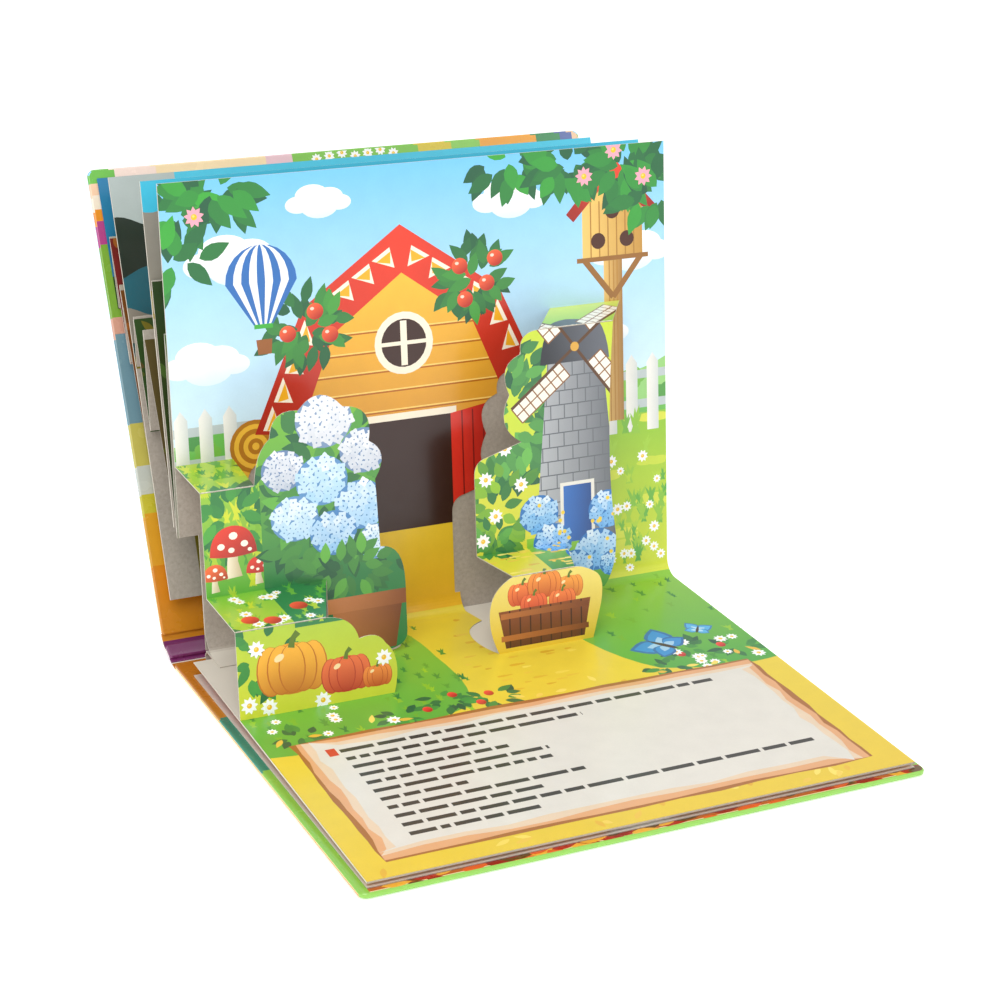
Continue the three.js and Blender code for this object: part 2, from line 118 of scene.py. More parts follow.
LYING = math.asin((GUTTER_Z - FRONT_Z) / DEPTH)
GUTTER = Vector((0.0, GUTTER_Z))
BACK_CREASE = Vector((CREASE_Y, 0.0))
FRONT_CREASE = BACK_CREASE + leaning(90 - SPINE_SLOPE) * SPINE
COVER_UP = leaning(LEAN["cover"])
LAST_Z = BOARD + 0.1 + CARD / 2


class Leaf:
    """One page or board in section: where it starts, which way it runs, and how far its face is."""

    def __init__(self, root, direction, face):
        self.root = Vector(root)
        self.direction = Vector(direction)
        self.face = face

    def point(self, x, v, lift=INK_LIFT):
        spot = self.root + self.direction * v + inward(self.direction) * (self.face + lift)
        return at(x, spot.x, spot.y)


LEAF_C = Leaf(GUTTER, leaning(LEAN["c"]), CARD / 2)
LEAF_D = Leaf(GUTTER, (math.cos(LYING), math.sin(LYING)), CARD / 2)
LEAF_B = Leaf((LEAF_B_Y, GUTTER_Z - CARD), leaning(LEAN["b"]), CARD)
LEAF_AA = Leaf(LEAF_A, leaning(LEAN["a"]), CARD)
LINING = Leaf(FRONT_CREASE + COVER_UP * COVER_ROOT, COVER_UP, BOARD + CARD)
INSIDE_COVER = Leaf(LINING.root + inward(COVER_UP) * 3.0, COVER_UP, 0.0)
LAST_PAGE = Leaf((0.0, LAST_Z), (1.0, 0.0), CARD / 2)
BACK_OF_C = Leaf(GUTTER, leaning(LEAN["c"]), -CARD * 1.5)
BACK_OF_B = Leaf((LEAF_B_Y, GUTTER_Z - CARD), leaning(LEAN["b"]), -CARD)
BACK_OF_A = Leaf(LEAF_A, leaning(LEAN["a"]), -CARD)


FOLDS = ("foot", "low_edge", "low_inner", "high_edge", "page")


def fold_lines(size):
    """The folds of a pop-up on its flat card, as v."""
    foot = -(size["high_tread"] + size["low_tread"])
    low_edge = foot + size["low_riser"]
    low_inner = low_edge + size["low_tread"]
    high_edge = low_inner + size["high_riser"]
    page = high_edge + size["high_tread"]
    return {"foot": foot, "low_edge": low_edge, "low_inner": low_inner, "high_edge": high_edge, "page": page}


def fold_places(size, low, out, high):
    """The folds in section at any opening: treads run with the low page, risers with the high one.
    out is the way from the gutter over the low page."""

    def place(over, upwards):
        share = upwards / (over + upwards)
        along_low = low.root + out * over + high.direction * upwards
        along_high = high.root + out * over + high.direction * upwards
        return along_low.lerp(along_high, share)

    treads = size["low_tread"] + size["high_tread"]
    risers = size["low_riser"] + size["high_riser"]
    return {
        "page": place(0, risers),
        "high_edge": place(size["high_tread"], risers),
        "low_inner": place(size["high_tread"], size["low_riser"]),
        "low_edge": place(treads, size["low_riser"]),
        "foot": place(treads, 0),
    }


def pop_up_leaves(size, low, out, high):
    """The leaves on which a pop-up's four panels lie, each named by the fold that it hangs from."""
    places, flat = fold_places(size, low, out, high), fold_lines(size)
    leaves = {}
    for front, back in zip(FOLDS, FOLDS[1:]):
        way = (places[back] - places[front]).normalized()
        leaves[back] = Leaf(places[front] - way * flat[front], way, CARD / 2)
    return leaves


# Flat outlines

def line(*points):
    return [Vector(p) for p in points]


def curve(start, bend, end, steps=8):
    """A quadratic curve's points after its start."""
    start, bend, end = Vector(start), Vector(bend), Vector(end)
    return [
        start * (1 - t) ** 2 + bend * 2 * t * (1 - t) + end * t * t
        for t in ((i + 1) / steps for i in range(steps))
    ]


def traced(start, *stretches):
    """An outline from straight stretches (one point) and curved ones (bend, end)."""
    points = [Vector(start)]
    for stretch in stretches:
        if len(stretch) == 1:
            points.append(Vector(stretch[0]))
        else:
            points += curve(points[-1], *stretch)
    return points


def rectangle(x0, v0, x1, v1):
    return line((x0, v0), (x1, v0), (x1, v1), (x0, v1))


def tread_outline(left, right, flat, front, back):
    return line(
        (left[front], flat[front]), (right[front], flat[front]),
        (right[back], flat[back]), (left[back], flat[back]),
    )


def stair_high_riser(flat):
    top, bottom = flat["high_edge"], flat["low_inner"]
    right, rise, hang = BUSH["right"], BUSH["rise"], BUSH["hang"]
    inner, edge = STAIR_RIGHT["low_inner"], STAIR_RIGHT["high_edge"]
    lobe = (right - edge) / 6
    return traced(
        (0, bottom), ((inner, bottom),), ((inner, bottom - hang / 2),),
        ((inner + 1, bottom - hang), (inner + lobe, bottom - hang)),
        ((right - lobe, bottom - hang),),
        ((right, bottom - hang), (right, bottom - hang * 0.8)),
        ((right, bottom - hang * 0.2),),
        ((right, bottom + lobe), (right - lobe, bottom + lobe)),
        ((right - lobe * 1.1, top - 4),),
        ((right - lobe * 0.4, top + rise * 0.2), (right - lobe * 1.3, top + rise * 0.36)),
        ((right - lobe, top + rise * 0.8), (right - lobe * 2.3, top + rise * 0.82)),
        ((right - lobe * 3.2, top + rise * 1.16), (right - lobe * 4.1, top + rise * 0.84)),
        ((right - lobe * 5.2, top + rise * 0.9), (right - lobe * 5.3, top + rise * 0.54)),
        ((right - lobe * 5.9, top + rise * 0.4), (edge, top)),
        ((0, top),),
    )


def stair_low_riser(flat):
    top, foot, rise = flat["low_edge"], STAIR_RIGHT["foot"], STAIR["low_riser"]
    edge = STAIR_RIGHT["low_edge"]
    return traced(
        (0, flat["foot"]), ((foot, flat["foot"]),),
        ((foot + 4, top - rise * 0.58), (foot - 3, top - rise * 0.4)),
        ((foot - 6, top - rise * 0.24), (foot - 14, top - rise * 0.3)),
        ((edge + 11, top - rise * 0.03), (edge, top)),
        ((0, top),),
    )


def tower_high_riser(flat):
    top, bottom, rise = flat["high_edge"], flat["low_inner"], TOWER["high_riser"]
    left, edge, inner = TOWER_LEFT["low_inner"], TOWER_LEFT["high_edge"], TOWER_RIGHT["low_inner"]
    crown = edge - left
    right, hang = TRUNK["right"], TRUNK["hang"]
    return traced(
        (left, bottom), ((inner, bottom),), ((inner + 4, bottom - hang * 0.8),),
        ((inner + 9, bottom - hang), (right - 6, bottom - hang)),
        ((right, bottom - hang * 0.7), (right, bottom)),
        ((right - 5, bottom + rise * 0.35), (TOWER_RIGHT["high_edge"], top)),
        ((edge, top),),
        ((left + crown * 0.68, top), (left + crown * 0.72, top - rise * 0.1)),
        ((left + crown * 0.36, top - rise * 0.14), (left + crown * 0.54, top - rise * 0.28)),
        ((left + crown * 0.3, top - rise * 0.42), (left + crown * 0.7, top - rise * 0.5)),
        ((left + 6, top - rise * 0.55),),
        ((left, top - rise * 0.56), (left, top - rise * 0.63)),
    )


def tower_low_riser(flat):
    top, foot, rise = flat["low_edge"], flat["foot"], TOWER["low_riser"]
    left, right = TOWER_LEFT["foot"], TOWER_RIGHT["foot"]
    return traced(
        (left, foot), ((right, foot),), ((right + 3, foot + rise * 0.35),),
        ((right + 7, top - rise * 0.2), (right + 1, top - rise * 0.1)),
        ((TOWER_RIGHT["low_edge"] + 4, top), (TOWER_RIGHT["low_edge"], top)),
        ((TOWER_LEFT["low_edge"], top),),
        ((left - 1, top - rise * 0.1), (left - 3, top - rise * 0.3)),
        ((left - 6, foot + rise * 0.4), (left, foot)),
    )[:-1]


# The open spread's gutter is round where nothing is cut out of it: v there runs along the curve.
BEND = 8.0
TURN = math.radians(90 - LEAN["c"]) - LYING
REACH = BEND / math.tan((math.pi - TURN) / 2)
BEND_CENTRE = GUTTER - LEAF_D.direction * REACH + inward(LEAF_D.direction) * BEND


def round_the_gutter(x, v):
    angle = LYING + TURN * (v + REACH) / (2 * REACH)
    spot = BEND_CENTRE + Vector((math.sin(angle), -math.cos(angle))) * (BEND - CARD / 2 - INK_LIFT)
    return at(x, spot.x, spot.y)


STAIR_FLAT = fold_lines(STAIR)
TOWER_FLAT = fold_lines(TOWER)
STAIR_LEFT = {name: 0.0 for name in STAIR_RIGHT}
STAIR_PANELS = {
    "page": tread_outline(STAIR_LEFT, STAIR_RIGHT, STAIR_FLAT, "high_edge", "page"),
    "high_edge": stair_high_riser(STAIR_FLAT),
    "low_inner": tread_outline(STAIR_LEFT, STAIR_RIGHT, STAIR_FLAT, "low_edge", "low_inner"),
    "low_edge": stair_low_riser(STAIR_FLAT),
}
TOWER_PANELS = {
    "page": tread_outline(TOWER_LEFT, TOWER_RIGHT, TOWER_FLAT, "high_edge", "page"),
    "high_edge": tower_high_riser(TOWER_FLAT),
    "low_inner": tread_outline(TOWER_LEFT, TOWER_RIGHT, TOWER_FLAT, "low_edge", "low_inner"),
    "low_edge": tower_low_riser(TOWER_FLAT),
}


# Colour and paint

def linear(hex_code):
    """An sRGB hex colour as linear red, green and blue."""
    values = [int(hex_code[i:i + 2], 16) / 255 for i in (1, 3, 5)]
    return [v / 12.92 if v <= 0.04045 else ((v + 0.055) / 1.055) ** 2.4 for v in values]


def mix(hex_a, hex_b, share):
    """A hex colour between two others."""
    pair = [[int(code[i:i + 2], 16) for i in (1, 3, 5)] for code in (hex_a, hex_b)]
    blended = [round(a + (b - a) * share) for a, b in zip(*pair)]
    return "#{:02X}{:02X}{:02X}".format(*blended)


class Flat:
    """One ink all over."""

    def __init__(self, code):
        self.colour = linear(code)

    def shade(self, x, v):
        return self.colour


class Fade:
    """An ink that runs evenly from one colour to another between two points of the card."""

    def __init__(self, code_a, code_b, start, end):
        self.a, self.b = linear(code_a), linear(code_b)
        self.start = Vector(start)
        self.run = Vector(end) - self.start

    def shade(self, x, v):
        share = (Vector((x, v)) - self.start).dot(self.run) / self.run.length_squared
        share = min(1.0, max(0.0, share))
        return [a + (b - a) * share for a, b in zip(self.a, self.b)]


# Drawing

def signed_area(points):
    return sum(a.x * b.y - b.x * a.y for a, b in zip(points, points[1:] + points[:1])) / 2


def box_of(points):
    xs, ys = [p.x for p in points], [p.y for p in points]
    return min(xs), min(ys), max(xs), max(ys)


class Drawing:
    """A print: closed shapes on the flat card, each with its paint, the later ones on top."""

    def __init__(self, seed):
        self.shapes = []
        self.random = random.Random(seed)

    def fill(self, points, paint):
        points = [Vector(p) for p in points]
        if signed_area(points) < 0:
            points.reverse()
        self.shapes.append((points, Flat(paint) if isinstance(paint, str) else paint, box_of(points)))

    def ellipse(self, x, v, rx, rv, paint, turn=0.0, sides=20):
        cos, sin = math.cos(turn), math.sin(turn)
        ring = [(rx * math.cos(a), rv * math.sin(a)) for a in (math.tau * i / sides for i in range(sides))]
        self.fill([(x + p * cos - q * sin, v + p * sin + q * cos) for p, q in ring], paint)

    def leaf(self, x, v, length, width, turn, paint):
        """A pointed leaf or petal that grows from (x, v)."""
        cos, sin = math.cos(turn), math.sin(turn)
        half = [(t, 0.5 * width / length * math.sin(math.pi * t ** 0.8)) for t in (0, 0.12, 0.3, 0.5, 0.7, 0.88, 1)]
        rim = half + [(t, -w) for t, w in reversed(half[1:-1])]
        self.fill([(x + length * (t * cos - w * sin), v + length * (t * sin + w * cos)) for t, w in rim], paint)

    def blob(self, x, v, rx, rv, lobes, depth, paint, turn=0.0):
        """A cloud-like round shape with soft lobes."""
        rim = []
        for i in range(lobes * 6):
            a = math.tau * i / (lobes * 6)
            reach = 1 - depth + depth * abs(math.cos(lobes * a / 2))
            rim.append((x + rx * reach * math.cos(a + turn), v + rv * reach * math.sin(a + turn)))
        self.fill(rim, paint)

    def stroke(self, points, widths, paint):
        """A painted line through points, with its width at each point."""
        points = [Vector(p) for p in points]
        if not isinstance(widths, (list, tuple)):
            widths = [widths] * len(points)
        left, right = [], []
        for i, point in enumerate(points):
            before = points[max(0, i - 1)]
            after = points[min(len(points) - 1, i + 1)]
            across = (after - before).orthogonal().normalized() * widths[i] / 2
            left.append(point + across)
            right.append(point - across)
        self.fill(left + right[::-1], paint)


# Motifs

def daisy(d, x, v, size, petal="#FFFFFF", heart="#F6C21C", petals=9):
    turn = d.random.uniform(0, math.tau)
    for i in range(petals):
        d.leaf(x, v, size, size * 0.52, turn + math.tau * i / petals, petal)
    d.ellipse(x, v, size * 0.3, size * 0.3, heart, sides=10)
    d.ellipse(x - size * 0.06, v + size * 0.08, size * 0.14, size * 0.12, mix(heart, "#FFFFFF", 0.4), sides=8)


def tuft(d, x, v, height, paint, blades=5):
    for i in range(blades):
        lean = math.radians(90 + (i - (blades - 1) / 2) * 16 + d.random.uniform(-5, 5))
        d.leaf(x + (i - blades / 2) * height * 0.09, v, height * d.random.uniform(0.7, 1.1), height * 0.16, lean, paint)


def foliage(d, x, v, rx, rv, count, size, dark, light):
    """A spray of leaves, the deep ones dark and those on top light."""
    for i in range(count):
        depth = i / max(1, count - 1)
        a = d.random.uniform(0, math.tau)
        reach = math.sqrt(d.random.random()) * (1 - 0.25 * depth)
        d.leaf(
            x + rx * reach * math.cos(a), v + rv * reach * math.sin(a),
            size * d.random.uniform(0.75, 1.2), size * 0.5,
            a + d.random.uniform(-0.9, 0.9), mix(dark, light, depth * d.random.uniform(0.55, 1.0)),
        )


def cloud(d, x, v, size):
    for dx, dv, r in ((-0.9, -0.1, 0.55), (0.85, -0.12, 0.5), (-0.3, 0.22, 0.72), (0.4, 0.12, 0.62), (0, -0.2, 0.8)):
        d.ellipse(x + dx * size, v + dv * size, r * size, r * size * 0.62, Fade(
            "#FFFFFF", "#DCEFFB", (x, v + size * 0.3), (x, v - size * 0.7)), sides=22)


def pumpkin(d, x, v, size, skin="#F0762A"):
    dark = mix(skin, "#8A2A10", 0.45)
    d.ellipse(x, v, size, size * 0.74, Fade(dark, skin, (x, v - size * 0.8), (x, v)), sides=26)
    for share, wide in ((-0.62, 0.42), (0.62, 0.42), (-0.32, 0.42), (0.32, 0.42), (0, 0.4)):
        paint = Fade(mix(skin, "#FFD060", 0.35), dark, (x + share * size, v + size * 0.5), (x, v - size * 0.75))
        d.ellipse(x + share * size, v, wide * size, size * 0.72, dark, sides=20)
        d.ellipse(x + share * size, v + size * 0.01, wide * size * 0.9, size * 0.7, paint, sides=20)
    d.ellipse(x - size * 0.36, v + size * 0.36, size * 0.16, size * 0.1, "#FFE2A8", turn=0.5, sides=10)
    d.stroke([(x, v + size * 0.6), (x + size * 0.05, v + size * 0.85), (x + size * 0.22, v + size * 1.02)],
             [size * 0.2, size * 0.15, size * 0.2], "#5E7A22")


def toadstool(d, x, v, size, cap="#E23A25"):
    d.stroke([(x, v), (x - size * 0.04, v + size * 0.5), (x, v + size * 0.9)],
             [size * 0.5, size * 0.34, size * 0.3], Fade("#F6E9CF", "#CDB88F", (x - size * 0.2, v), (x + size * 0.2, v)))
    top = traced((x - size * 0.75, v + size * 0.72), ((x - size * 0.7, v + size * 1.6), (x, v + size * 1.62)),
                 ((x + size * 0.7, v + size * 1.6), (x + size * 0.75, v + size * 0.72)),
                 ((x, v + size * 0.56), (x - size * 0.75, v + size * 0.72)))[:-1]
    d.fill(top, Fade(cap, mix(cap, "#6A0E0E", 0.5), (x - size * 0.2, v + size * 1.5), (x + size * 0.4, v + size * 0.6)))
    for dx, dv, r in ((-0.38, 1.0, 0.12), (0.02, 1.3, 0.14), (0.36, 1.02, 0.12), (-0.06, 0.86, 0.1), (0.52, 0.82, 0.07)):
        d.ellipse(x + dx * size, v + dv * size, r * size, r * size * 0.85, "#FFF6E6", sides=10)


def butterfly(d, x, v, size, turn, wing="#2F8FD0"):
    for side in (1, -1):
        for a, length, wide in ((0.75, 1.0, 0.8), (-0.35, 0.72, 0.62)):
            angle = turn + math.pi / 2 - side * (math.pi / 2 - a)
            d.leaf(x, v, size * length, size * wide, angle, mix(wing, "#123F7A", 0.45))
            d.leaf(x, v, size * length * 0.88, size * wide * 0.78, angle, wing)
            d.leaf(x, v, size * length * 0.5, size * wide * 0.42, angle, mix(wing, "#FFFFFF", 0.55))
    d.leaf(x - size * 0.4 * math.cos(turn + math.pi / 2), v - size * 0.4 * math.sin(turn + math.pi / 2),
           size * 0.9, size * 0.16, turn + math.pi / 2, "#3B2A20")


def picket_fence(d, x0, x1, v, height, pale="#F6F3EA"):
    shade = mix(pale, "#8FA5AE", 0.55)
    for level in (0.3, 0.68):
        d.fill(rectangle(x0, v + height * level, x1, v + height * (level + 0.11)), shade)
    step = height * 0.3
    for i in range(int((x1 - x0) / step)):
        left = x0 + i * step + step * 0.15
        right = left + step * 0.55
        d.fill(line((left, v), (right, v), (right, v + height * 0.88), ((left + right) / 2, v + height), (left, v + height * 0.88)),
               Fade(pale, shade, (left, v), (right + step * 0.3, v)))


def barn(d, x, v, wide, high):
    """A red barn with a two-slope roof, white trims, a loft window and yellow board doors."""
    wall, roof = "#F5A623", "#E93C22"
    eave = v + high * 0.46
    knee = v + high * 0.8
    ridge = v + high
    front = line((x - wide * 0.42, v), (x + wide * 0.42, v), (x + wide * 0.42, eave), (x + wide * 0.28, knee),
                 (x, ridge), (x - wide * 0.28, knee), (x - wide * 0.42, eave))
    d.fill(front, Fade("#FFC43D", "#C9781A", (x, ridge), (x, v)))
    boards = 11
    for i in range(boards):
        low = v + (knee - v) * i / boards
        half = wide * 0.42 if low < eave else wide * (0.42 - 0.14 * (low - eave) / (knee - eave))
        d.fill(rectangle(x - half, low, x + half, low + 0.7), "#B9680F")
        d.fill(rectangle(x - half, low + 0.7, x + half, low + 1.3), "#FFD772")
    for side in (-1, 1):
        outer = [(0.56, 0.42), (0.37, 0.84), (0, 1.1)]
        inner = [(0, 0.93), (0.26, 0.74), (0.4, 0.4)]
        rim = [(x + side * wide * a, v + high * b) for a, b in outer + inner]
        d.fill(rim, Fade(roof, mix(roof, "#7A130B", 0.5), (x, ridge), (x + side * wide * 0.6, eave)))
        for (a0, b0), (a1, b1) in (((0.53, 0.43), (0.355, 0.815)), ((0.34, 0.83), (0.03, 1.03))):
            teeth = 4
            for i in range(teeth):
                s, e = i / teeth, (i + 0.86) / teeth
                p = Vector((x + side * wide * (a0 + (a1 - a0) * s), v + high * (b0 + (b1 - b0) * s)))
                q = Vector((x + side * wide * (a0 + (a1 - a0) * e), v + high * (b0 + (b1 - b0) * e)))
                tip = (p + q) / 2 - Vector((side * wide * 0.05, high * 0.052))
                d.fill([p, q, tip], "#FFF3DC")
                d.fill([p * 0.8 + tip * 0.2, q * 0.8 + tip * 0.2, tip * 0.7 + (p + q) * 0.15], "#F7B21B")
    d.ellipse(x, v + high * 0.68, wide * 0.11, wide * 0.11, "#FFF3DC", sides=24)
    d.ellipse(x, v + high * 0.68, wide * 0.085, wide * 0.085, "#3A1C12", sides=24)
    d.fill(rectangle(x - wide * 0.085, v + high * 0.673, x + wide * 0.085, v + high * 0.687), "#FFF3DC")
    d.fill(rectangle(x - wide * 0.012, v + high * 0.6, x + wide * 0.012, v + high * 0.76), "#FFF3DC")
    door = wide * 0.19
    d.fill(rectangle(x - door, v, x + door, v + high * 0.43), "#FFF3DC")
    d.fill(rectangle(x - door * 0.88, v, x + door * 0.88, v + high * 0.405), "#34170E")
    d.fill(line((x + door * 0.88, v), (x + door * 1.75, v - 2), (x + door * 1.75, v + high * 0.43), (x + door * 0.88, v + high * 0.405)),
           Fade("#E5301F", "#A81A12", (x + door, v), (x + door * 1.8, v)))
    for i in range(1, 4):
        left = x + door * (0.88 + 0.87 * i / 4)
        d.fill(rectangle(left, v, left + 0.6, v + high * 0.41), "#7E120C")


def round_bale(d, x, v, size):
    for i, share in enumerate((1.0, 0.84, 0.66, 0.48, 0.3, 0.14)):
        d.ellipse(x, v, size * share, size * share, ("#B9781B", "#F4BE3C")[i % 2], sides=24)


def windmill(d, x, v, wide, high, stone="#9A9DA3"):
    """A stone mill tower with a cap and four lattice sails."""
    top = v + high * 0.74
    tower = line((x - wide * 0.5, v), (x + wide * 0.5, v), (x + wide * 0.32, top), (x - wide * 0.32, top))
    d.fill(tower, Fade(mix(stone, "#FFFFFF", 0.35), mix(stone, "#22262C", 0.5), (x - wide * 0.5, v), (x + wide * 0.5, v)))
    courses = 13
    for i in range(courses):
        low = v + (top - v) * i / courses
        half = wide * (0.5 - 0.18 * i / courses)
        d.fill(rectangle(x - half, low, x + half, low + 0.5), mix(stone, "#2E3238", 0.45))
        for j in range(5):
            start = x - half + (j + (0.5 if i % 2 else 0.1)) * half * 0.42
            d.fill(rectangle(start, low, start + 0.5, low + (top - v) / courses), mix(stone, "#2E3238", 0.4))
    d.fill(traced((x - wide * 0.4, top), ((x - wide * 0.36, top + high * 0.2), (x, top + high * 0.22)),
                  ((x + wide * 0.36, top + high * 0.2), (x + wide * 0.4, top)))
           , Fade("#2B2E35", "#62666F", (x - wide * 0.3, top), (x + wide * 0.3, top + 8)))
    hub = Vector((x, top + high * 0.06))
    for i in range(4):
        way = Vector((math.cos(math.radians(38 + 90 * i)), math.sin(math.radians(38 + 90 * i))))
        cloth = way.orthogonal() * wide * 0.2
        root, tip = hub + way * high * 0.09, hub + way * high * 0.36
        d.fill([root, tip, tip + cloth, root + cloth], "#F7F1E2")
        for j in range(8):
            spot = root.lerp(tip, j / 7)
            d.stroke([spot, spot + cloth], 0.55, "#8A5A2E")
        for share in (0.5, 1.0):
            d.stroke([root + cloth * share, tip + cloth * share], 0.55, "#8A5A2E")
        d.stroke([hub, tip], 1.3, "#5B3A1E")
    d.ellipse(hub.x, hub.y, 2.0, 2.0, "#D9A441", sides=12)


def dovecote(d, x, v, wide, high, wood="#E3AE48"):
    """A wooden dovecote on a braced post, with a red shingle roof and round holes."""
    dark = mix(wood, "#5A2C10", 0.55)
    floor, eave = v + high * 0.64, v + high * 0.84
    d.fill(rectangle(x - wide * 0.13, v, x + wide * 0.13, floor),
           Fade(mix(wood, "#FFFFFF", 0.2), dark, (x - wide * 0.13, v), (x + wide * 0.17, v)))
    for share in (-0.06, 0.0, 0.05):
        d.fill(rectangle(x + wide * share, v, x + wide * share + 0.6, floor), mix(wood, dark, 0.6))
    for side in (-1, 1):
        d.stroke([(x, floor - wide * 0.52), (x + side * wide * 0.42, floor)], 2.6, dark)
    d.fill(rectangle(x - wide * 0.42, floor, x + wide * 0.42, eave),
           Fade(mix(wood, "#FFE9A8", 0.4), mix(wood, dark, 0.5), (x - wide * 0.42, v), (x + wide * 0.5, v)))
    d.fill(line((x - wide * 0.42, eave), (x + wide * 0.42, eave), (x, eave + wide * 0.4)), mix(wood, "#FFE9A8", 0.3))
    for i in range(1, 7):
        left = x + wide * (0.12 * i - 0.43)
        d.fill(rectangle(left, floor, left + 0.6, eave + 1), mix(wood, dark, 0.7))
    d.fill(rectangle(x - wide * 0.5, floor - 2, x + wide * 0.5, floor), dark)
    for dx, share in ((-0.2, 0.3), (0.2, 0.3), (0, 0.85)):
        d.ellipse(x + dx * wide, floor + share * (eave - floor), wide * 0.1, wide * 0.1, "#4A2210", sides=16)
    for side in (-1, 1):
        d.fill([(x, eave + wide * 0.58), (x + side * wide * 0.64, eave - wide * 0.1),
                (x + side * wide * 0.54, eave - wide * 0.2), (x, eave + wide * 0.34)],
               Fade("#F2482A", "#9C1F12", (x, eave + wide * 0.5), (x + side * wide * 0.6, eave)))


def hydrangea(d, x, v, size, tint="#8CC8F2"):
    """A round head of four-petalled florets."""
    d.ellipse(x, v, size, size * 0.92, mix(tint, "#2A5C9A", 0.5), sides=24)
    florets = int(16 + size * 1.6)
    for i in range(florets):
        reach = size * 0.92 * math.sqrt((i + 0.5) / florets)
        a = i * 2.39996
        fx, fv = x + reach * math.cos(a), v + reach * 0.92 * math.sin(a)
        light = 0.25 + 0.6 * max(0.0, (fv - v + size) / (2 * size))
        paint = mix(tint, "#FFFFFF", min(0.9, light * d.random.uniform(0.7, 1.15)))
        turn = d.random.uniform(0, 1.57)
        for k in range(4):
            d.leaf(fx, fv, size * 0.21, size * 0.2, turn + k * math.pi / 2, paint)
        d.ellipse(fx, fv, size * 0.035, size * 0.035, mix(tint, "#1E4E86", 0.4), sides=6)


def flower_pot(d, x, v, wide, high, clay="#B8562B"):
    d.fill(line((x - wide * 0.36, v), (x + wide * 0.36, v), (x + wide * 0.46, v + high * 0.78), (x - wide * 0.46, v + high * 0.78)),
           Fade(mix(clay, "#FFB07A", 0.3), mix(clay, "#3A1206", 0.5), (x - wide * 0.4, v), (x + wide * 0.45, v)))
    d.fill(rectangle(x - wide * 0.52, v + high * 0.74, x + wide * 0.52, v + high),
           Fade(mix(clay, "#FFB07A", 0.45), mix(clay, "#3A1206", 0.35), (x - wide * 0.5, v), (x + wide * 0.5, v)))


# The open spread's print

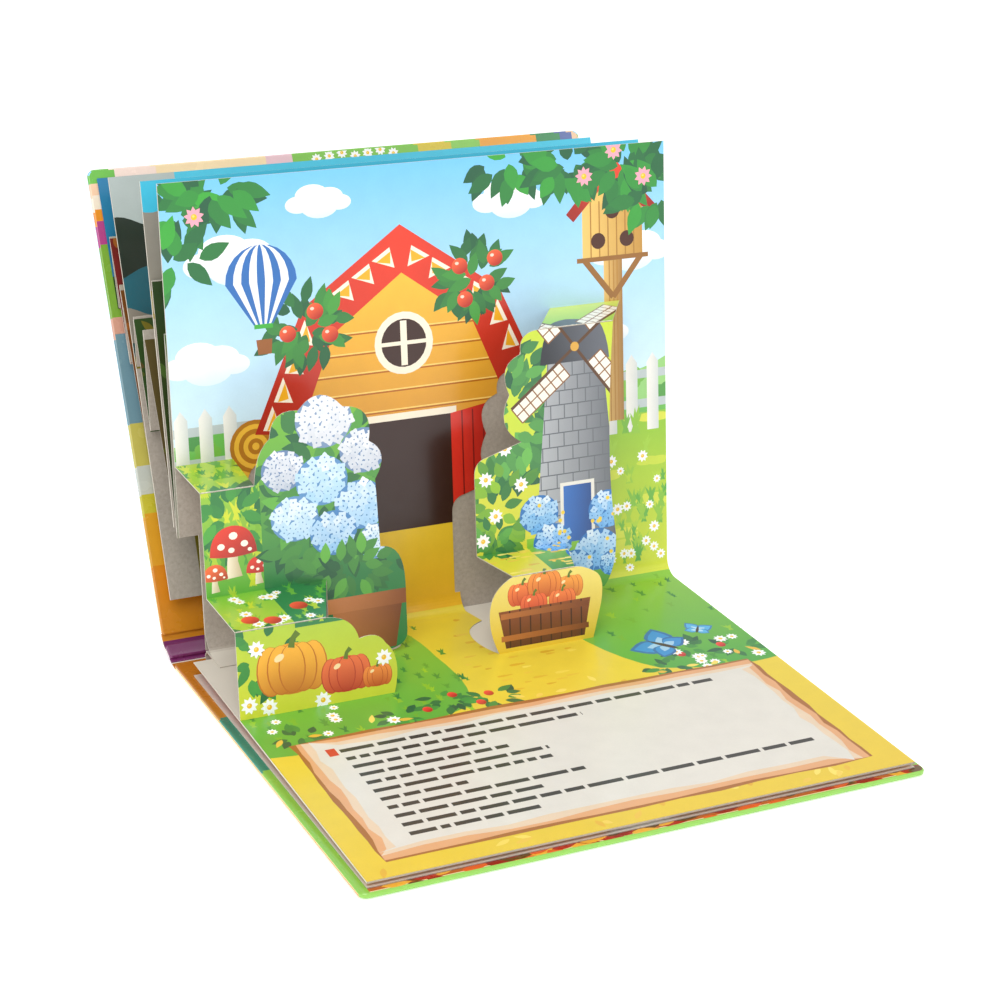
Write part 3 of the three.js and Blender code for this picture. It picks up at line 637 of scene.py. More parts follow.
def open_page_print():
    """Sky, hills, barn, dovecote and meadow on the upper page; path, flowers and text panel on the lower."""
    d = Drawing(4)
    rnd = d.random
    d.fill(rectangle(-1, 56, WIDTH + 1, DEPTH + 1), Fade("#D9F1FC", "#74C4F2", (0, 84), (0, DEPTH)))
    for x, v, size in ((30, 158, 15), (150, 172, 12), (206, 146, 14), (66, 178, 10), (16, 118, 13), (188, 112, 12)):
        cloud(d, x, v, size)

    # Far hills and woods
    for start, crest, paint in ((92, 8, "#9AD27C"), (82, 7, "#6CBB52"), (72, 6, "#A8D63F")):
        rim = [(x, start + crest * math.sin(x / 23 + start) + 3 * math.sin(x / 9)) for x in range(-2, int(WIDTH) + 6, 4)]
        d.fill([(-2, 40)] + rim + [(WIDTH + 4, 40)], paint)
    for i in range(26):
        x = rnd.uniform(0, WIDTH)
        d.blob(x, 84 + rnd.uniform(-5, 8), 6, 5, 5, 0.22, mix("#2D7F45", "#8CCB4A", rnd.random()))

    # Meadow and path
    d.fill(rectangle(-1, 0, WIDTH + 1, 74), Fade("#D5DC2C", "#8FC531", (0, 0), (0, 74)))
    for i in range(40):
        x, v = rnd.uniform(0, WIDTH), rnd.uniform(8, 74)
        d.blob(x, v, rnd.uniform(8, 18), rnd.uniform(2, 4), 4, 0.25, mix("#9CCB2A", "#E3E24A", rnd.random()), rnd.random())
    picket_fence(d, -1, 38, 66, 34)
    picket_fence(d, 150, WIDTH + 1, 66, 34)
    for i in range(46):
        x = rnd.choice((rnd.uniform(0, 40), rnd.uniform(150, WIDTH)))
        tuft(d, x, 60 + rnd.uniform(-6, 6), rnd.uniform(8, 13), mix("#2F8F3A", "#A6D03A", rnd.random()))
    d.fill([(x, 60 - 58 * (1 - math.cos((x - 104) / 54 * math.pi / 2))) for x in range(70, 140, 4)]
           + [(150, -1), (56, -1)], Fade("#F7D632", "#EBB41F", (0, 60), (0, 0)))

    # Dovecote at the back, barn in front
    dovecote(d, 197, 72, 34, 112)
    for x, v, size in ((26, 62, 13), (46, 55, 14), (34, 82, 11)):
        round_bale(d, x, v, size)
    barn(d, 100, 38, 118, 116)
    foliage(d, 58, 128, 16, 11, 46, 10, "#1F5B3C", "#4DA63E")
    foliage(d, 132, 140, 15, 12, 46, 10, "#1F5B3C", "#4DA63E")
    for x, v in ((50, 126), (62, 134), (68, 124), (126, 146), (138, 138), (128, 132), (142, 148)):
        d.ellipse(x, v, 3.6, 3.4, Fade("#FF6A3C", "#B01E14", (x - 2, v + 3), (x + 2, v - 3)), sides=16)
        d.ellipse(x - 1.2, v + 1.2, 0.9, 0.7, "#FFD9C4", sides=8)

    # A striped balloon in the sky
    bx, bv, size = 40, 148, 15
    for i in range(9):
        a0, a1 = -1 + 2 * i / 9, -1 + 2 * (i + 1) / 9
        arc = [math.pi / 2 - a * math.pi / 2 for a in (a0, a1)]
        rim = [(bx + size * a0 * math.cos(t), bv + size * math.sin(t)) for t in (k * math.pi / 2 / 6 for k in range(7))]
        rim2 = [(bx + size * a1 * math.cos(t), bv + size * math.sin(t)) for t in (k * math.pi / 2 / 6 for k in range(6, -1, -1))]
        low = [(bx + a1 * size * 0.26, bv - size * 1.15), (bx + a0 * size * 0.26, bv - size * 1.15)]
        d.fill(rim + rim2[1:] + low, ("#2F6FB8", "#F4F8FC")[i % 2])
    d.fill(rectangle(bx - size * 0.26, bv - size * 1.24, bx + size * 0.26, bv - size * 1.12), "#3FAF3A")
    d.fill(line((bx - 3.4, bv - 23), (bx + 3.4, bv - 23), (bx + 2.8, bv - 29), (bx - 2.8, bv - 29)), "#9A5B24")

    # Ivy along the top
    for x, v, n in ((6, 178, 30), (22, 186, 26), (4, 160, 16), (150, 187, 22), (176, 184, 36), (204, 182, 44), (218, 168, 26)):
        foliage(d, x, v, 14, 9, n, 13, "#1F5B3C", "#3FAF3A")
    for x, v in ((14, 176), (184, 178), (212, 176), (198, 188)):
        daisy(d, x, v, 4.2, petal="#F7A8B8")

    # Meadow plants in front of the barn
    for i in range(60):
        x = rnd.choice((rnd.uniform(70, 86), rnd.uniform(196, WIDTH), rnd.uniform(150, WIDTH)))
        tuft(d, x, rnd.uniform(2, 44 if x > 100 else 20), rnd.uniform(5, 10), mix("#4DA63E", "#B7D433", rnd.random()))
    for i in range(18):
        daisy(d, rnd.uniform(190, WIDTH - 3), rnd.uniform(4, 56), rnd.uniform(1.8, 3.0))

    lower_page_ground(d)
    return d


def lower_page_ground(d):
    """The lower page: meadow by the gutter, a path down the middle, flowers, and a torn text panel."""
    rnd = d.random
    d.fill(rectangle(-1, -DEPTH - 1, WIDTH + 1, 0), Fade("#E6C638", "#E9D23A", (0, -DEPTH), (0, 0)))
    d.fill(traced((-1, 0), ((-1, -96),), ((40, -104), (84, -86)), ((96, -78), (92, -40)), ((92, -10), (80, 0)))[:-1],
           Fade("#8CC63A", "#5FAE3C", (0, 0), (0, -90)))
    d.fill(traced((150, 0), ((150, -60), (172, -84)), ((200, -96), (WIDTH + 1, -92)), ((WIDTH + 1, 0),)),
           Fade("#8CC63A", "#4DA63E", (0, 0), (0, -90)))
    for i in range(60):
        x, v = rnd.uniform(100, 148), rnd.uniform(-84, -4)
        d.blob(x, v, rnd.uniform(1.5, 4), rnd.uniform(0.6, 1.1), 3, 0.3, mix("#D9A91E", "#F6E25C", rnd.random()))
    for i in range(90):
        x = rnd.choice((rnd.uniform(62, 96), rnd.uniform(164, WIDTH), rnd.uniform(2, 96)))
        v = rnd.uniform(-92, -4) if x > 62 else rnd.uniform(-92, -66)
        tuft(d, x, v, rnd.uniform(4, 7), mix("#1F7A3C", "#9CCB2A", rnd.random()))
    for x, v, n in ((80, -78, 16), (60, -84, 12), (98, -82, 12), (190, -70, 18), (212, -78, 14), (176, -84, 10), (16, -84, 12)):
        foliage(d, x, v, 9, 6, n, 7, "#1F5B3C", "#4DA63E")
    for x, v in ((84, -74), (92, -84), (70, -82), (98, -78), (186, -76), (206, -74)):
        d.ellipse(x, v, 2.0, 2.3, Fade("#FF4B3A", "#A81414", (x - 1, v + 2), (x + 1, v - 2)), sides=14)
    for i in range(20):
        x = rnd.choice((rnd.uniform(4, 96), rnd.uniform(168, WIDTH - 4)))
        daisy(d, x, rnd.uniform(-90, -66), rnd.uniform(2.0, 3.4))
    butterfly(d, 184, -66, 16, 0.7)
    butterfly(d, 204, -58, 8, -0.6, wing="#56B4E6")
    text_panel(d, (11, -180), (209, -90))


TEXT_ROWS = (0.93, 0.57, 0.31, 0.35, 0.43, 0.42, 0.2, 0.46, 0.34, 0.99, 0.3)


def text_panel(d, low, high, ink="#3A3733"):
    """A pale panel with torn edges and rows of plain bars where the words would be."""
    rnd = d.random
    (x0, v0), (x1, v1) = low, high

    def torn(inset, rough):
        rim = []
        for (ax, av), (bx, bv) in (((x0, v0), (x1, v0)), ((x1, v0), (x1, v1)), ((x1, v1), (x0, v1)), ((x0, v1), (x0, v0))):
            steps = 12
            side = Vector((bx - ax, bv - av))
            inner = Vector((-side.y, side.x)).normalized()
            for i in range(steps):
                p = Vector((ax, av)) + side * i / steps + inner * (inset + rnd.uniform(0, rough))
                rim.append(p)
        return rim

    for i in range(30):
        x, v = rnd.uniform(2, WIDTH - 2), rnd.choice((rnd.uniform(-188, -182), rnd.uniform(-88, -84)))
        d.leaf(x, v, rnd.uniform(4, 8), 2.4, rnd.uniform(0, math.tau), mix("#E0A92A", "#F7E06A", rnd.random()))
    d.fill(torn(-1.4, 1.2), "#A8692E")
    d.fill(torn(0.2, 1.6), "#E2A878")
    d.fill(torn(3.0, 2.2), "#E6CDB0")
    d.fill(torn(5.5, 2.4), "#E0DBD1")
    pitch = (v1 - v0 - 18) / len(TEXT_ROWS)
    for row, share in enumerate(TEXT_ROWS):
        x, v = x0 + 15, v1 - 12 - row * pitch
        end = x + (x1 - x0 - 26) * share
        if row == 0:
            d.fill(rectangle(x - 5, v - 1.5, x - 1.2, v + 4.2), "#D23A2A")
        while x < end:
            word = min(rnd.uniform(3.5, 15), end - x)
            d.fill(rectangle(x, v, x + word, v + 2.5), ink)
            x += word + 1.7


def stair_print():
    """The stair's own print: grass and toadstools, a hydrangea bush in a pot, and pumpkins in front."""
    d = Drawing(41)
    rnd = d.random
    flat = STAIR_FLAT
    d.fill(rectangle(-2, -70, 90, 100), Fade("#5FAE3C", "#B9D634", (0, 5), (0, 90)))
    d.fill(rectangle(-2, -70, 90, flat["low_inner"]), Fade("#D8DB3A", "#7CBF3A", (0, -63), (0, 5)))
    for i in range(60):
        tuft(d, rnd.uniform(0, 24), rnd.uniform(5, 76), rnd.uniform(6, 11), mix("#2F8F3A", "#D5DC2C", rnd.random()))
    foliage(d, 12, 36, 12, 12, 34, 9, "#1F6B3C", "#4DA63E")
    toadstool(d, 12, 12, 13)
    toadstool(d, 4, 7, 7, cap="#F26A2E")
    toadstool(d, 22, 8, 7)

    # Bush
    d.fill(rectangle(24, -30, 86, 100), Fade("#2D7F45", "#7CBF3A", (0, 6), (0, 84)))
    foliage(d, 53, 40, 30, 40, 150, 11, "#1F5B3C", "#69B845")
    for x, v, size, tint in ((34, 52, 9, "#A9B4C8"), (52, 70, 12, "#C9CFDA"), (68, 56, 10, "#B6BFD0"), (50, 46, 11, "#8CC8F2"),
                             (66, 34, 11, "#7DBDF0"), (38, 32, 10, "#9FD0F5"), (54, 24, 10, "#6FB3EC"), (72, 18, 8, "#A9D6F7")):
        hydrangea(d, x, v, size, tint)
    foliage(d, 60, 8, 22, 8, 40, 9, "#1F5B3C", "#69B845")
    flower_pot(d, 67, -27.5, 33, 24, clay="#B0672E")

    # Low tread and front riser
    for i in range(36):
        tuft(d, rnd.uniform(0, 50), rnd.uniform(-30, 2), rnd.uniform(4, 8), mix("#4DA63E", "#D5DC2C", rnd.random()))
    for i in range(12):
        daisy(d, rnd.uniform(3, 46), rnd.uniform(-27, 2), rnd.uniform(2, 3.4))
    for x, v in ((9, -20), (17, -23), (31, -14)):
        d.ellipse(x, v, 3.6, 3.4, Fade("#FF5A3C", "#A81414", (x - 2, v + 3), (x + 2, v - 3)), sides=16)
    foliage(d, 12, -40, 14, 14, 26, 8, "#1F6B3C", "#4DA63E")
    pumpkin(d, 22, -46, 14, skin="#F2A51E")
    pumpkin(d, 44, -52, 10, skin="#E2402A")
    pumpkin(d, 57, -55, 6, skin="#EE6A24")
    for x, v in ((4, -58), (8, -36), (34, -61), (12, -60), (60, -48)):
        daisy(d, x, v, 3.6)
    return d


def tower_print():
    """The tower's own print: a grey stone mill among bushes and bluebells, pumpkins in a crate in front."""
    d = Drawing(42)
    rnd = d.random
    flat = TOWER_FLAT
    d.fill(rectangle(110, -60, 205, 130), Fade("#F0D23A", "#C9DC3C", (0, -50), (0, 60)))
    d.fill(rectangle(110, flat["high_edge"], 205, 130), Fade("#8CCB4A", "#D9E86A", (0, 100), (0, 124)))
    foliage(d, 136, 66, 16, 34, 120, 10, "#1F5B3C", "#6CBB52")
    foliage(d, 130, 26, 14, 20, 60, 9, "#1F6B3C", "#9CCB2A")
    d.fill(rectangle(142, -20, 190, 12), Fade("#3E8E3A", "#8CC63A", (0, -18), (0, 12)))
    windmill(d, 166, 8, 40, 104, stone="#8E949B")
    d.fill(rectangle(158, 8, 174, 34), "#E8E4DA")
    d.fill(rectangle(159.5, 8, 172.5, 32.5), Fade("#2F6FC0", "#184A8C", (160, 8), (172, 8)))
    for x, v, size in ((148, 22, 9), (154, 9, 9), (180, 20, 9), (175, 3, 10), (164, -4, 9), (182, -4, 6)):
        hydrangea(d, x, v, size, "#2F8FE0")
    for i in range(24):
        d.ellipse(rnd.uniform(144, 184), rnd.uniform(-12, 30), 0.9, 0.9, "#F6D13A", sides=8)
    foliage(d, 126, 12, 8, 8, 24, 7, "#1F6B3C", "#69B845")
    for x, v in ((124, 40), (133, 52), (128, 24), (140, 36), (122, 14)):
        daisy(d, x, v, 3.4)

    # Low tread and the crate of pumpkins
    for i in range(24):
        d.blob(rnd.uniform(118, 160), rnd.uniform(-14, 6), 3, 0.8, 3, 0.3, mix("#E0B52A", "#FBE97A", rnd.random()))
    d.fill(rectangle(110, -50, 170, flat["low_edge"]), Fade("#E3C02E", "#F3E27A", (0, -48), (0, -16)))
    for x, v, size, skin in ((128, -24, 6.5, "#F0562A"), (149, -24, 6.5, "#F28A2E"), (138, -21.5, 7.5, "#F0762A"), (133, -29, 6, "#E23A25"), (146, -29, 6, "#E8542A")):
        pumpkin(d, x, v, size, skin)
    d.fill(line((120, -46), (156, -46), (159, -30), (117, -30)), Fade("#8A4A1E", "#5A2C10", (0, -30), (0, -46)))
    for i in range(1, 9):
        x = 117 + 42 * i / 9
        d.fill(rectangle(x, -46, x + 0.6, -30), "#3A1A0A")
    for v in (-33.5, -43):
        d.fill(rectangle(118, v, 158, v + 2.4), Fade("#B97033", "#7A3E18", (118, v), (158, v)))
    return d


def closed_page_print(seed, sky, ground, accent, edge=()):
    """A plain page of a closed spread, of which the edges show: sky, ground and leaves, and the fields
    of colour down its left edge, each from its own v up."""
    d = Drawing(seed)
    rnd = d.random
    d.fill(rectangle(-1, -1, WIDTH + 1, DEPTH + 1), Fade(ground, sky, (0, 40), (0, 120)))
    for i in range(8):
        cloud(d, rnd.uniform(30, WIDTH), rnd.uniform(110, 184), rnd.uniform(9, 16))
    for i in range(16):
        x = rnd.uniform(0, WIDTH)
        d.blob(x, rnd.uniform(60, 100), 12, 9, 6, 0.2, mix(ground, accent, rnd.random()))
    for i in range(24):
        tuft(d, rnd.uniform(0, WIDTH), rnd.uniform(2, 60), rnd.uniform(6, 12), mix(ground, accent, rnd.random()))
    for start, colour in edge:
        rim = [(x, start + 2.5 * math.sin(x / 5 + start)) for x in range(-2, 29, 3)]
        d.fill(rim + [(26, -2), (-2, -2)], colour)
    return d


def closed_ground_print(seed, ground, accent):
    """The lower page of a closed spread, seen from behind: ground, flowers and a text panel."""
    d = Drawing(seed)
    rnd = d.random
    d.fill(rectangle(-1, -DEPTH - 1, WIDTH + 1, 1), Fade(ground, accent, (0, -DEPTH), (0, 0)))
    for i in range(24):
        tuft(d, rnd.uniform(0, WIDTH), rnd.uniform(-84, -4), rnd.uniform(5, 10), mix(ground, "#2F8F3A", rnd.random()))
    for i in range(10):
        daisy(d, rnd.uniform(4, WIDTH - 4), rnd.uniform(-86, -4), rnd.uniform(2.4, 4))
    text_panel(d, (14, -178), (208, -96))
    return d


# Materials

def add(tree, kind, inputs=None, **settings):
    """Adds a node with its settings; an input takes a value, or another node's output to link."""
    node = tree.nodes.new(kind)
    for name, value in settings.items():
        setattr(node, name, value)
    for name, value in (inputs or {}).items():
        if isinstance(value, bpy.types.NodeSocket):
            tree.links.new(value, node.inputs[name])
        else:
            node.inputs[name].default_value = value
    return node


def finish_of(name, roughness, coat=0.0, ior=1.5):
    """A new material with a plain surface, its node tree and its shader."""
    material = bpy.data.materials.new(name)
    material.use_nodes = True
    tree = material.node_tree
    shader = tree.nodes["Principled BSDF"]
    shader.inputs["Roughness"].default_value = roughness
    shader.inputs["IOR"].default_value = ior
    shader.inputs["Coat Weight"].default_value = coat
    shader.inputs["Coat Roughness"].default_value = 0.18
    return material, tree, shader


def rgba(code):
    return linear(code) + [1.0]


def offset_print(name, coat, gloss, wave_mm):
    """Offset ink on clay-coated paper, calendered: the eye gets even, full colour with a faint mottle
    of the coating, a satin shine that changes over a centimetre or so, and a sheet that is never quite
    flat. A laminate film gives the cover's paper the sharper shine."""
    material, tree, shader = finish_of(name, sum(gloss) / 2, coat)
    place = add(tree, "ShaderNodeTexCoord").outputs["Object"]
    ink = add(tree, "ShaderNodeAttribute", attribute_name="ink").outputs["Color"]
    mottle = add(tree, "ShaderNodeTexNoise", {"Vector": place, "Scale": 1 / (9 * MM), "Detail": 3.0})
    grain = add(tree, "ShaderNodeTexNoise", {"Vector": place, "Scale": 1 / (0.7 * MM), "Detail": 2.0})
    uneven = add(tree, "ShaderNodeMapRange", {"Value": mottle.outputs["Fac"], "To Min": 0.92, "To Max": 1.04})
    speckle = add(tree, "ShaderNodeMapRange", {"Value": grain.outputs["Fac"], "To Min": -0.03, "To Max": 0.03})
    tone = add(tree, "ShaderNodeMath", {0: uneven.outputs["Result"], 1: speckle.outputs["Result"]}, operation="ADD")
    inked = add(tree, "ShaderNodeVectorMath", {0: ink, "Scale": tone.outputs["Value"]}, operation="SCALE")
    shine = add(tree, "ShaderNodeMapRange", {"Value": mottle.outputs["Fac"], "To Min": gloss[0], "To Max": gloss[1]})
    wave = add(tree, "ShaderNodeTexNoise", {"Vector": place, "Scale": 1 / (wave_mm * MM), "Detail": 1.0})
    relief = add(tree, "ShaderNodeBump", {"Height": wave.outputs["Fac"], "Strength": 0.12, "Distance": 3 * MM})
    tree.links.new(inked.outputs["Vector"], shader.inputs["Base Color"])
    tree.links.new(shine.outputs["Result"], shader.inputs["Roughness"])
    tree.links.new(relief.outputs["Normal"], shader.inputs["Normal"])
    return material


def greyback_card():
    """Unprinted back of recycled card, as it leaves the paper machine: dull grey-tan, with short dark and
    pale fibres, a cloudy tone over a few centimetres, and the paler core where a blade has cut it."""
    material, tree, shader = finish_of("bare_greyback_card", 0.82)
    coordinates = add(tree, "ShaderNodeTexCoord")
    place = coordinates.outputs["Object"]
    fibre = add(tree, "ShaderNodeTexNoise", {"Vector": place, "Scale": 1 / (1.4 * MM), "Detail": 6.0, "Roughness": 0.7})
    cloudy = add(tree, "ShaderNodeTexNoise", {"Vector": place, "Scale": 1 / (22 * MM), "Detail": 2.0})
    back = add(tree, "ShaderNodeMix", {
        "Factor": fibre.outputs["Fac"], "A": rgba("#8E8376"), "B": rgba("#C9BFB2")}, data_type="RGBA")
    uneven = add(tree, "ShaderNodeMapRange", {"Value": cloudy.outputs["Fac"], "To Min": 0.88, "To Max": 1.1})
    board = add(tree, "ShaderNodeVectorMath", {0: back.outputs["Result"], "Scale": uneven.outputs["Result"]}, operation="SCALE")
    sides = add(tree, "ShaderNodeSeparateXYZ", {0: coordinates.outputs["Normal"]})
    across = add(tree, "ShaderNodeMath", {0: sides.outputs["X"]}, operation="ABSOLUTE")
    ends = add(tree, "ShaderNodeMath", {0: across.outputs["Value"], 1: sides.outputs["Z"]}, operation="MAXIMUM")
    cut = add(tree, "ShaderNodeMapRange", {"Value": ends.outputs["Value"], "From Min": 0.8, "From Max": 0.9})
    edged = add(tree, "ShaderNodeMix", {
        "Factor": cut.outputs["Result"], "A": board.outputs["Vector"], "B": rgba("#DDD6C8")}, data_type="RGBA")
    relief = add(tree, "ShaderNodeBump", {"Height": fibre.outputs["Fac"], "Strength": 0.3, "Distance": 0.15 * MM})
    tree.links.new(edged.outputs["Result"], shader.inputs["Base Color"])
    tree.links.new(relief.outputs["Normal"], shader.inputs["Normal"])
    return material


def painted_floor():
    """Matt white studio board with a barely visible grain."""
    material, tree, shader = finish_of("matt_white_board", 0.9)
    place = add(tree, "ShaderNodeTexCoord").outputs["Object"]
    grain = add(tree, "ShaderNodeTexNoise", {"Vector": place, "Scale": 30.0})
    white = add(tree, "ShaderNodeMix", {
        "Factor": grain.outputs["Fac"], "A": rgba("#F8F8F8"), "B": rgba("#FFFFFF")}, data_type="RGBA")
    tree.links.new(white.outputs["Result"], shader.inputs["Base Color"])
    shader.inputs["Emission Color"].default_value = (1.0, 1.0, 1.0, 1.0)
    shader.inputs["Emission Strength"].default_value = 0.38
    return material


def cracked_coating():
    """Coated card where a fold has cracked it: the ink is gone and the chalky white coating and paper
    fibres show, so the eye gets a dull, pale, broken line."""
    material, tree, shader = finish_of("cracked_card_coating", 0.9)
    place = add(tree, "ShaderNodeTexCoord").outputs["Object"]
    fibre = add(tree, "ShaderNodeTexNoise", {"Vector": place, "Scale": 1 / (0.5 * MM), "Detail": 4.0})
    chalk = add(tree, "ShaderNodeMix", {
        "Factor": fibre.outputs["Fac"], "A": rgba("#CFC6B4"), "B": rgba("#F7F3E8")}, data_type="RGBA")
    relief = add(tree, "ShaderNodeBump", {"Height": fibre.outputs["Fac"], "Strength": 0.4, "Distance": 0.1 * MM})
    tree.links.new(chalk.outputs["Result"], shader.inputs["Base Color"])
    tree.links.new(relief.outputs["Normal"], shader.inputs["Normal"])
    return material


PRINT = offset_print("coated_print_card", 0.35, (0.26, 0.42), 40)
WRAP = offset_print("laminated_cover_paper", 0.6, (0.2, 0.32), 60)
GREYBACK = greyback_card()
CRACKED = cracked_coating()


# Card that follows a rule: bent round a radius, or cracked along a fold

def new_tree(name, sizes):
    """An empty Geometry Nodes tree with named sizes going in, its input node and its output node."""
    tree = bpy.data.node_groups.new(name, "GeometryNodeTree")
    for label, kind in sizes.items():
        tree.interface.new_socket(label, in_out="INPUT", socket_type="NodeSocket" + kind)
    tree.interface.new_socket("Geometry", in_out="OUTPUT", socket_type="NodeSocketGeometry")
    return tree, tree.nodes.new("NodeGroupInput").outputs, tree.nodes.new("NodeGroupOutput").inputs


def finished(tree, shape, output, material):
    """Ends a tree: its instances made real, with their material."""
    real = add(tree, "GeometryNodeRealizeInstances", {"Geometry": shape})
    clad = add(tree, "GeometryNodeSetMaterial", {"Geometry": real.outputs["Geometry"], "Material": material})
    tree.links.new(clad.outputs["Geometry"], output["Geometry"])
    return tree


def bent_card_tree():
    """A strip of card bent round an axis along the spine: a grid rolled onto the bend's outer side,
    thickened towards its centre."""
    tree, size, output = new_tree("bent_card", {
        "Left": "Float", "Length": "Float", "Radius": "Float", "Thickness": "Float",
        "Start": "Float", "Turn": "Float", "Centre": "Vector", "Steps": "Int"})
    grid = add(tree, "GeometryNodeMeshGrid", {
        "Size X": size["Length"], "Size Y": 1.0, "Vertices X": 2, "Vertices Y": size["Steps"]})
    flat = add(tree, "ShaderNodeSeparateXYZ", {0: add(tree, "GeometryNodeInputPosition").outputs["Position"]})
    share = add(tree, "ShaderNodeMath", {0: flat.outputs["Y"], 1: 0.5}, operation="ADD")
    angle = add(tree, "ShaderNodeMath", {
        0: share.outputs["Value"], 1: size["Turn"], 2: size["Start"]}, operation="MULTIPLY_ADD")
    middle = add(tree, "ShaderNodeMath", {0: size["Length"], 1: 0.5, 2: size["Left"]}, operation="MULTIPLY_ADD")
    along = add(tree, "ShaderNodeMath", {0: flat.outputs["X"], 1: middle.outputs["Value"]}, operation="ADD")
    sine = add(tree, "ShaderNodeMath", {0: angle.outputs["Value"]}, operation="SINE")
    cosine = add(tree, "ShaderNodeMath", {0: angle.outputs["Value"]}, operation="COSINE")
    down = add(tree, "ShaderNodeMath", {0: cosine.outputs["Value"], 1: -1.0}, operation="MULTIPLY")
    radial = add(tree, "ShaderNodeCombineXYZ", {"Y": sine.outputs["Value"], "Z": down.outputs["Value"]})
    reach = add(tree, "ShaderNodeVectorMath", {0: radial.outputs["Vector"], "Scale": size["Radius"]}, operation="SCALE")
    sideways = add(tree, "ShaderNodeCombineXYZ", {"X": along.outputs["Value"]})
    section = add(tree, "ShaderNodeVectorMath", {0: reach.outputs["Vector"], 1: size["Centre"]}, operation="ADD")
    place = add(tree, "ShaderNodeVectorMath", {0: section.outputs["Vector"], 1: sideways.outputs["Vector"]}, operation="ADD")
    rolled = add(tree, "GeometryNodeSetPosition", {
        "Geometry": grid.outputs["Mesh"], "Position": place.outputs["Vector"]})
    thick = add(tree, "GeometryNodeExtrudeMesh", {
        "Mesh": rolled.outputs["Geometry"], "Offset Scale": size["Thickness"], "Individual": False})
    outer = add(tree, "GeometryNodeFlipFaces", {"Mesh": rolled.outputs["Geometry"]})
    both = add(tree, "GeometryNodeJoinGeometry", {"Geometry": thick.outputs["Mesh"]})
    tree.links.new(outer.outputs["Mesh"], both.inputs["Geometry"])
    shell = add(tree, "GeometryNodeMergeByDistance", {"Geometry": both.outputs["Geometry"], "Distance": 0.01 * MM})
    return finished(tree, shell.outputs["Geometry"], output, GREYBACK)


def cracked_fold_tree():
    """A fold's worn ridge: a thin bead from end to end, of random width, and gone where the ink held."""
    tree, size, output = new_tree("cracked_fold", {
        "Start": "Vector", "End": "Vector", "Count": "Int", "Radius": "Float", "Seed": "Int"})
    ridge = add(tree, "GeometryNodeCurvePrimitiveLine", {"Start": size["Start"], "End": size["End"]})
    marks = add(tree, "GeometryNodeResampleCurve", {"Curve": ridge.outputs["Curve"], "Count": size["Count"]})
    chance = add(tree, "FunctionNodeRandomValue", {"Seed": size["Seed"]}, data_type="FLOAT")
    worn = add(tree, "ShaderNodeMapRange", {
        "Value": chance.outputs[1], "From Min": 0.3, "From Max": 1.0, "To Max": size["Radius"]})
    round_profile = add(tree, "GeometryNodeCurvePrimitiveCircle", {"Resolution": 5, "Radius": 1.0})
    line_of_flecks = add(tree, "GeometryNodeCurveToMesh", {
        "Curve": marks.outputs["Curve"], "Profile Curve": round_profile.outputs["Curve"],
        "Scale": worn.outputs["Result"]})
    return finished(tree, line_of_flecks.outputs["Mesh"], output, CRACKED)


def made_by(tree, name, **sizes):
    """The plain mesh that a tree makes from its named sizes, in an object at the origin."""
    piece = bpy.data.objects.new(name, bpy.data.meshes.new(name))
    bpy.context.scene.collection.objects.link(piece)
    maker = piece.modifiers.new("maker", "NODES")
    maker.node_group = tree
    sockets = {item.name: item.identifier for item in tree.interface.items_tree}
    for label, value in sizes.items():
        maker[sockets[label]] = value
    shape = bpy.data.meshes.new_from_object(piece.evaluated_get(bpy.context.evaluated_depsgraph_get()))
    piece.modifiers.remove(maker)
    piece.data = shape
    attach(piece, "block")
    return piece


BENT_CARD = bent_card_tree()
CRACKED_FOLD = cracked_fold_tree()


# Prints folded into place

def inside(point, points):
    """Whether a flat point lies within an outline."""
    odd = False
    for a, b in zip(points, points[1:] + points[:1]):
        if (a.y > point.y) != (b.y > point.y) and point.x < (b.x - a.x) * (point.y - a.y) / (b.y - a.y) + a.x:
            odd = not odd
    return odd


def overlap(a, b):
    return a[0] < b[2] and b[0] < a[2] and a[1] < b[3] and b[1] < a[3]


def anticlockwise(points):
    return points if signed_area(points) > 0 else points[::-1]


def printed_faces(drawing, outline, holes, place):
    """Cuts a drawing to one panel of card, and yields its triangles, placed and painted."""
    layers = [(anticlockwise(outline), None)] + [(anticlockwise(hole), None) for hole in holes]
    bounds = box_of(outline)
    layers += [(points, paint) for points, paint, box in drawing.shapes if overlap(box, bounds)]
    corners, faces = [], []
    for rim, _ in layers:
        faces.append(list(range(len(corners), len(corners) + len(rim))))
        corners += rim
    flat, _, triangles, _, _, sources = delaunay_2d_cdt(corners, [], faces, 1, 1e-4, True)
    cut_out = set(range(1, 1 + len(holes)))
    for triangle, source in zip(triangles, sources):
        paint = layers[max(source)][1] if 0 in source and not cut_out & set(source) else None
        if paint:
            spots = [flat[i] for i in triangle]
            yield [place(*p) for p in spots], [paint.shade(*p) for p in spots]


def inked_mesh(name, triangles, material):
    """A mesh of loose painted triangles: (three points, three colours) each."""
    vertices, colours = [], []
    for spots, inks in triangles:
        a, b, c = spots
        if (b - a).cross(c - a).length > 1e-12:
            vertices += spots
            colours += inks
    mesh = bpy.data.meshes.new(name)
    mesh.from_pydata(vertices, [], [(i, i + 1, i + 2) for i in range(0, len(vertices), 3)])
    ink = mesh.color_attributes.new("ink", "FLOAT_COLOR", "CORNER")
    ink.data.foreach_set("color", [value for colour in colours for value in (*colour, 1.0)])
    mesh.materials.append(material)
    piece = bpy.data.objects.new(name, mesh)
    bpy.context.scene.collection.objects.link(piece)
    return piece


def folded_print(name, panels, body):
    """One sheet of ink over several panels of card: (drawing, outline, holes, placing) each."""
    triangles = [face for panel in panels for face in printed_faces(*panel)]
    piece = inked_mesh(name, triangles, PRINT)
    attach(piece, body)
    return piece


# The open spread

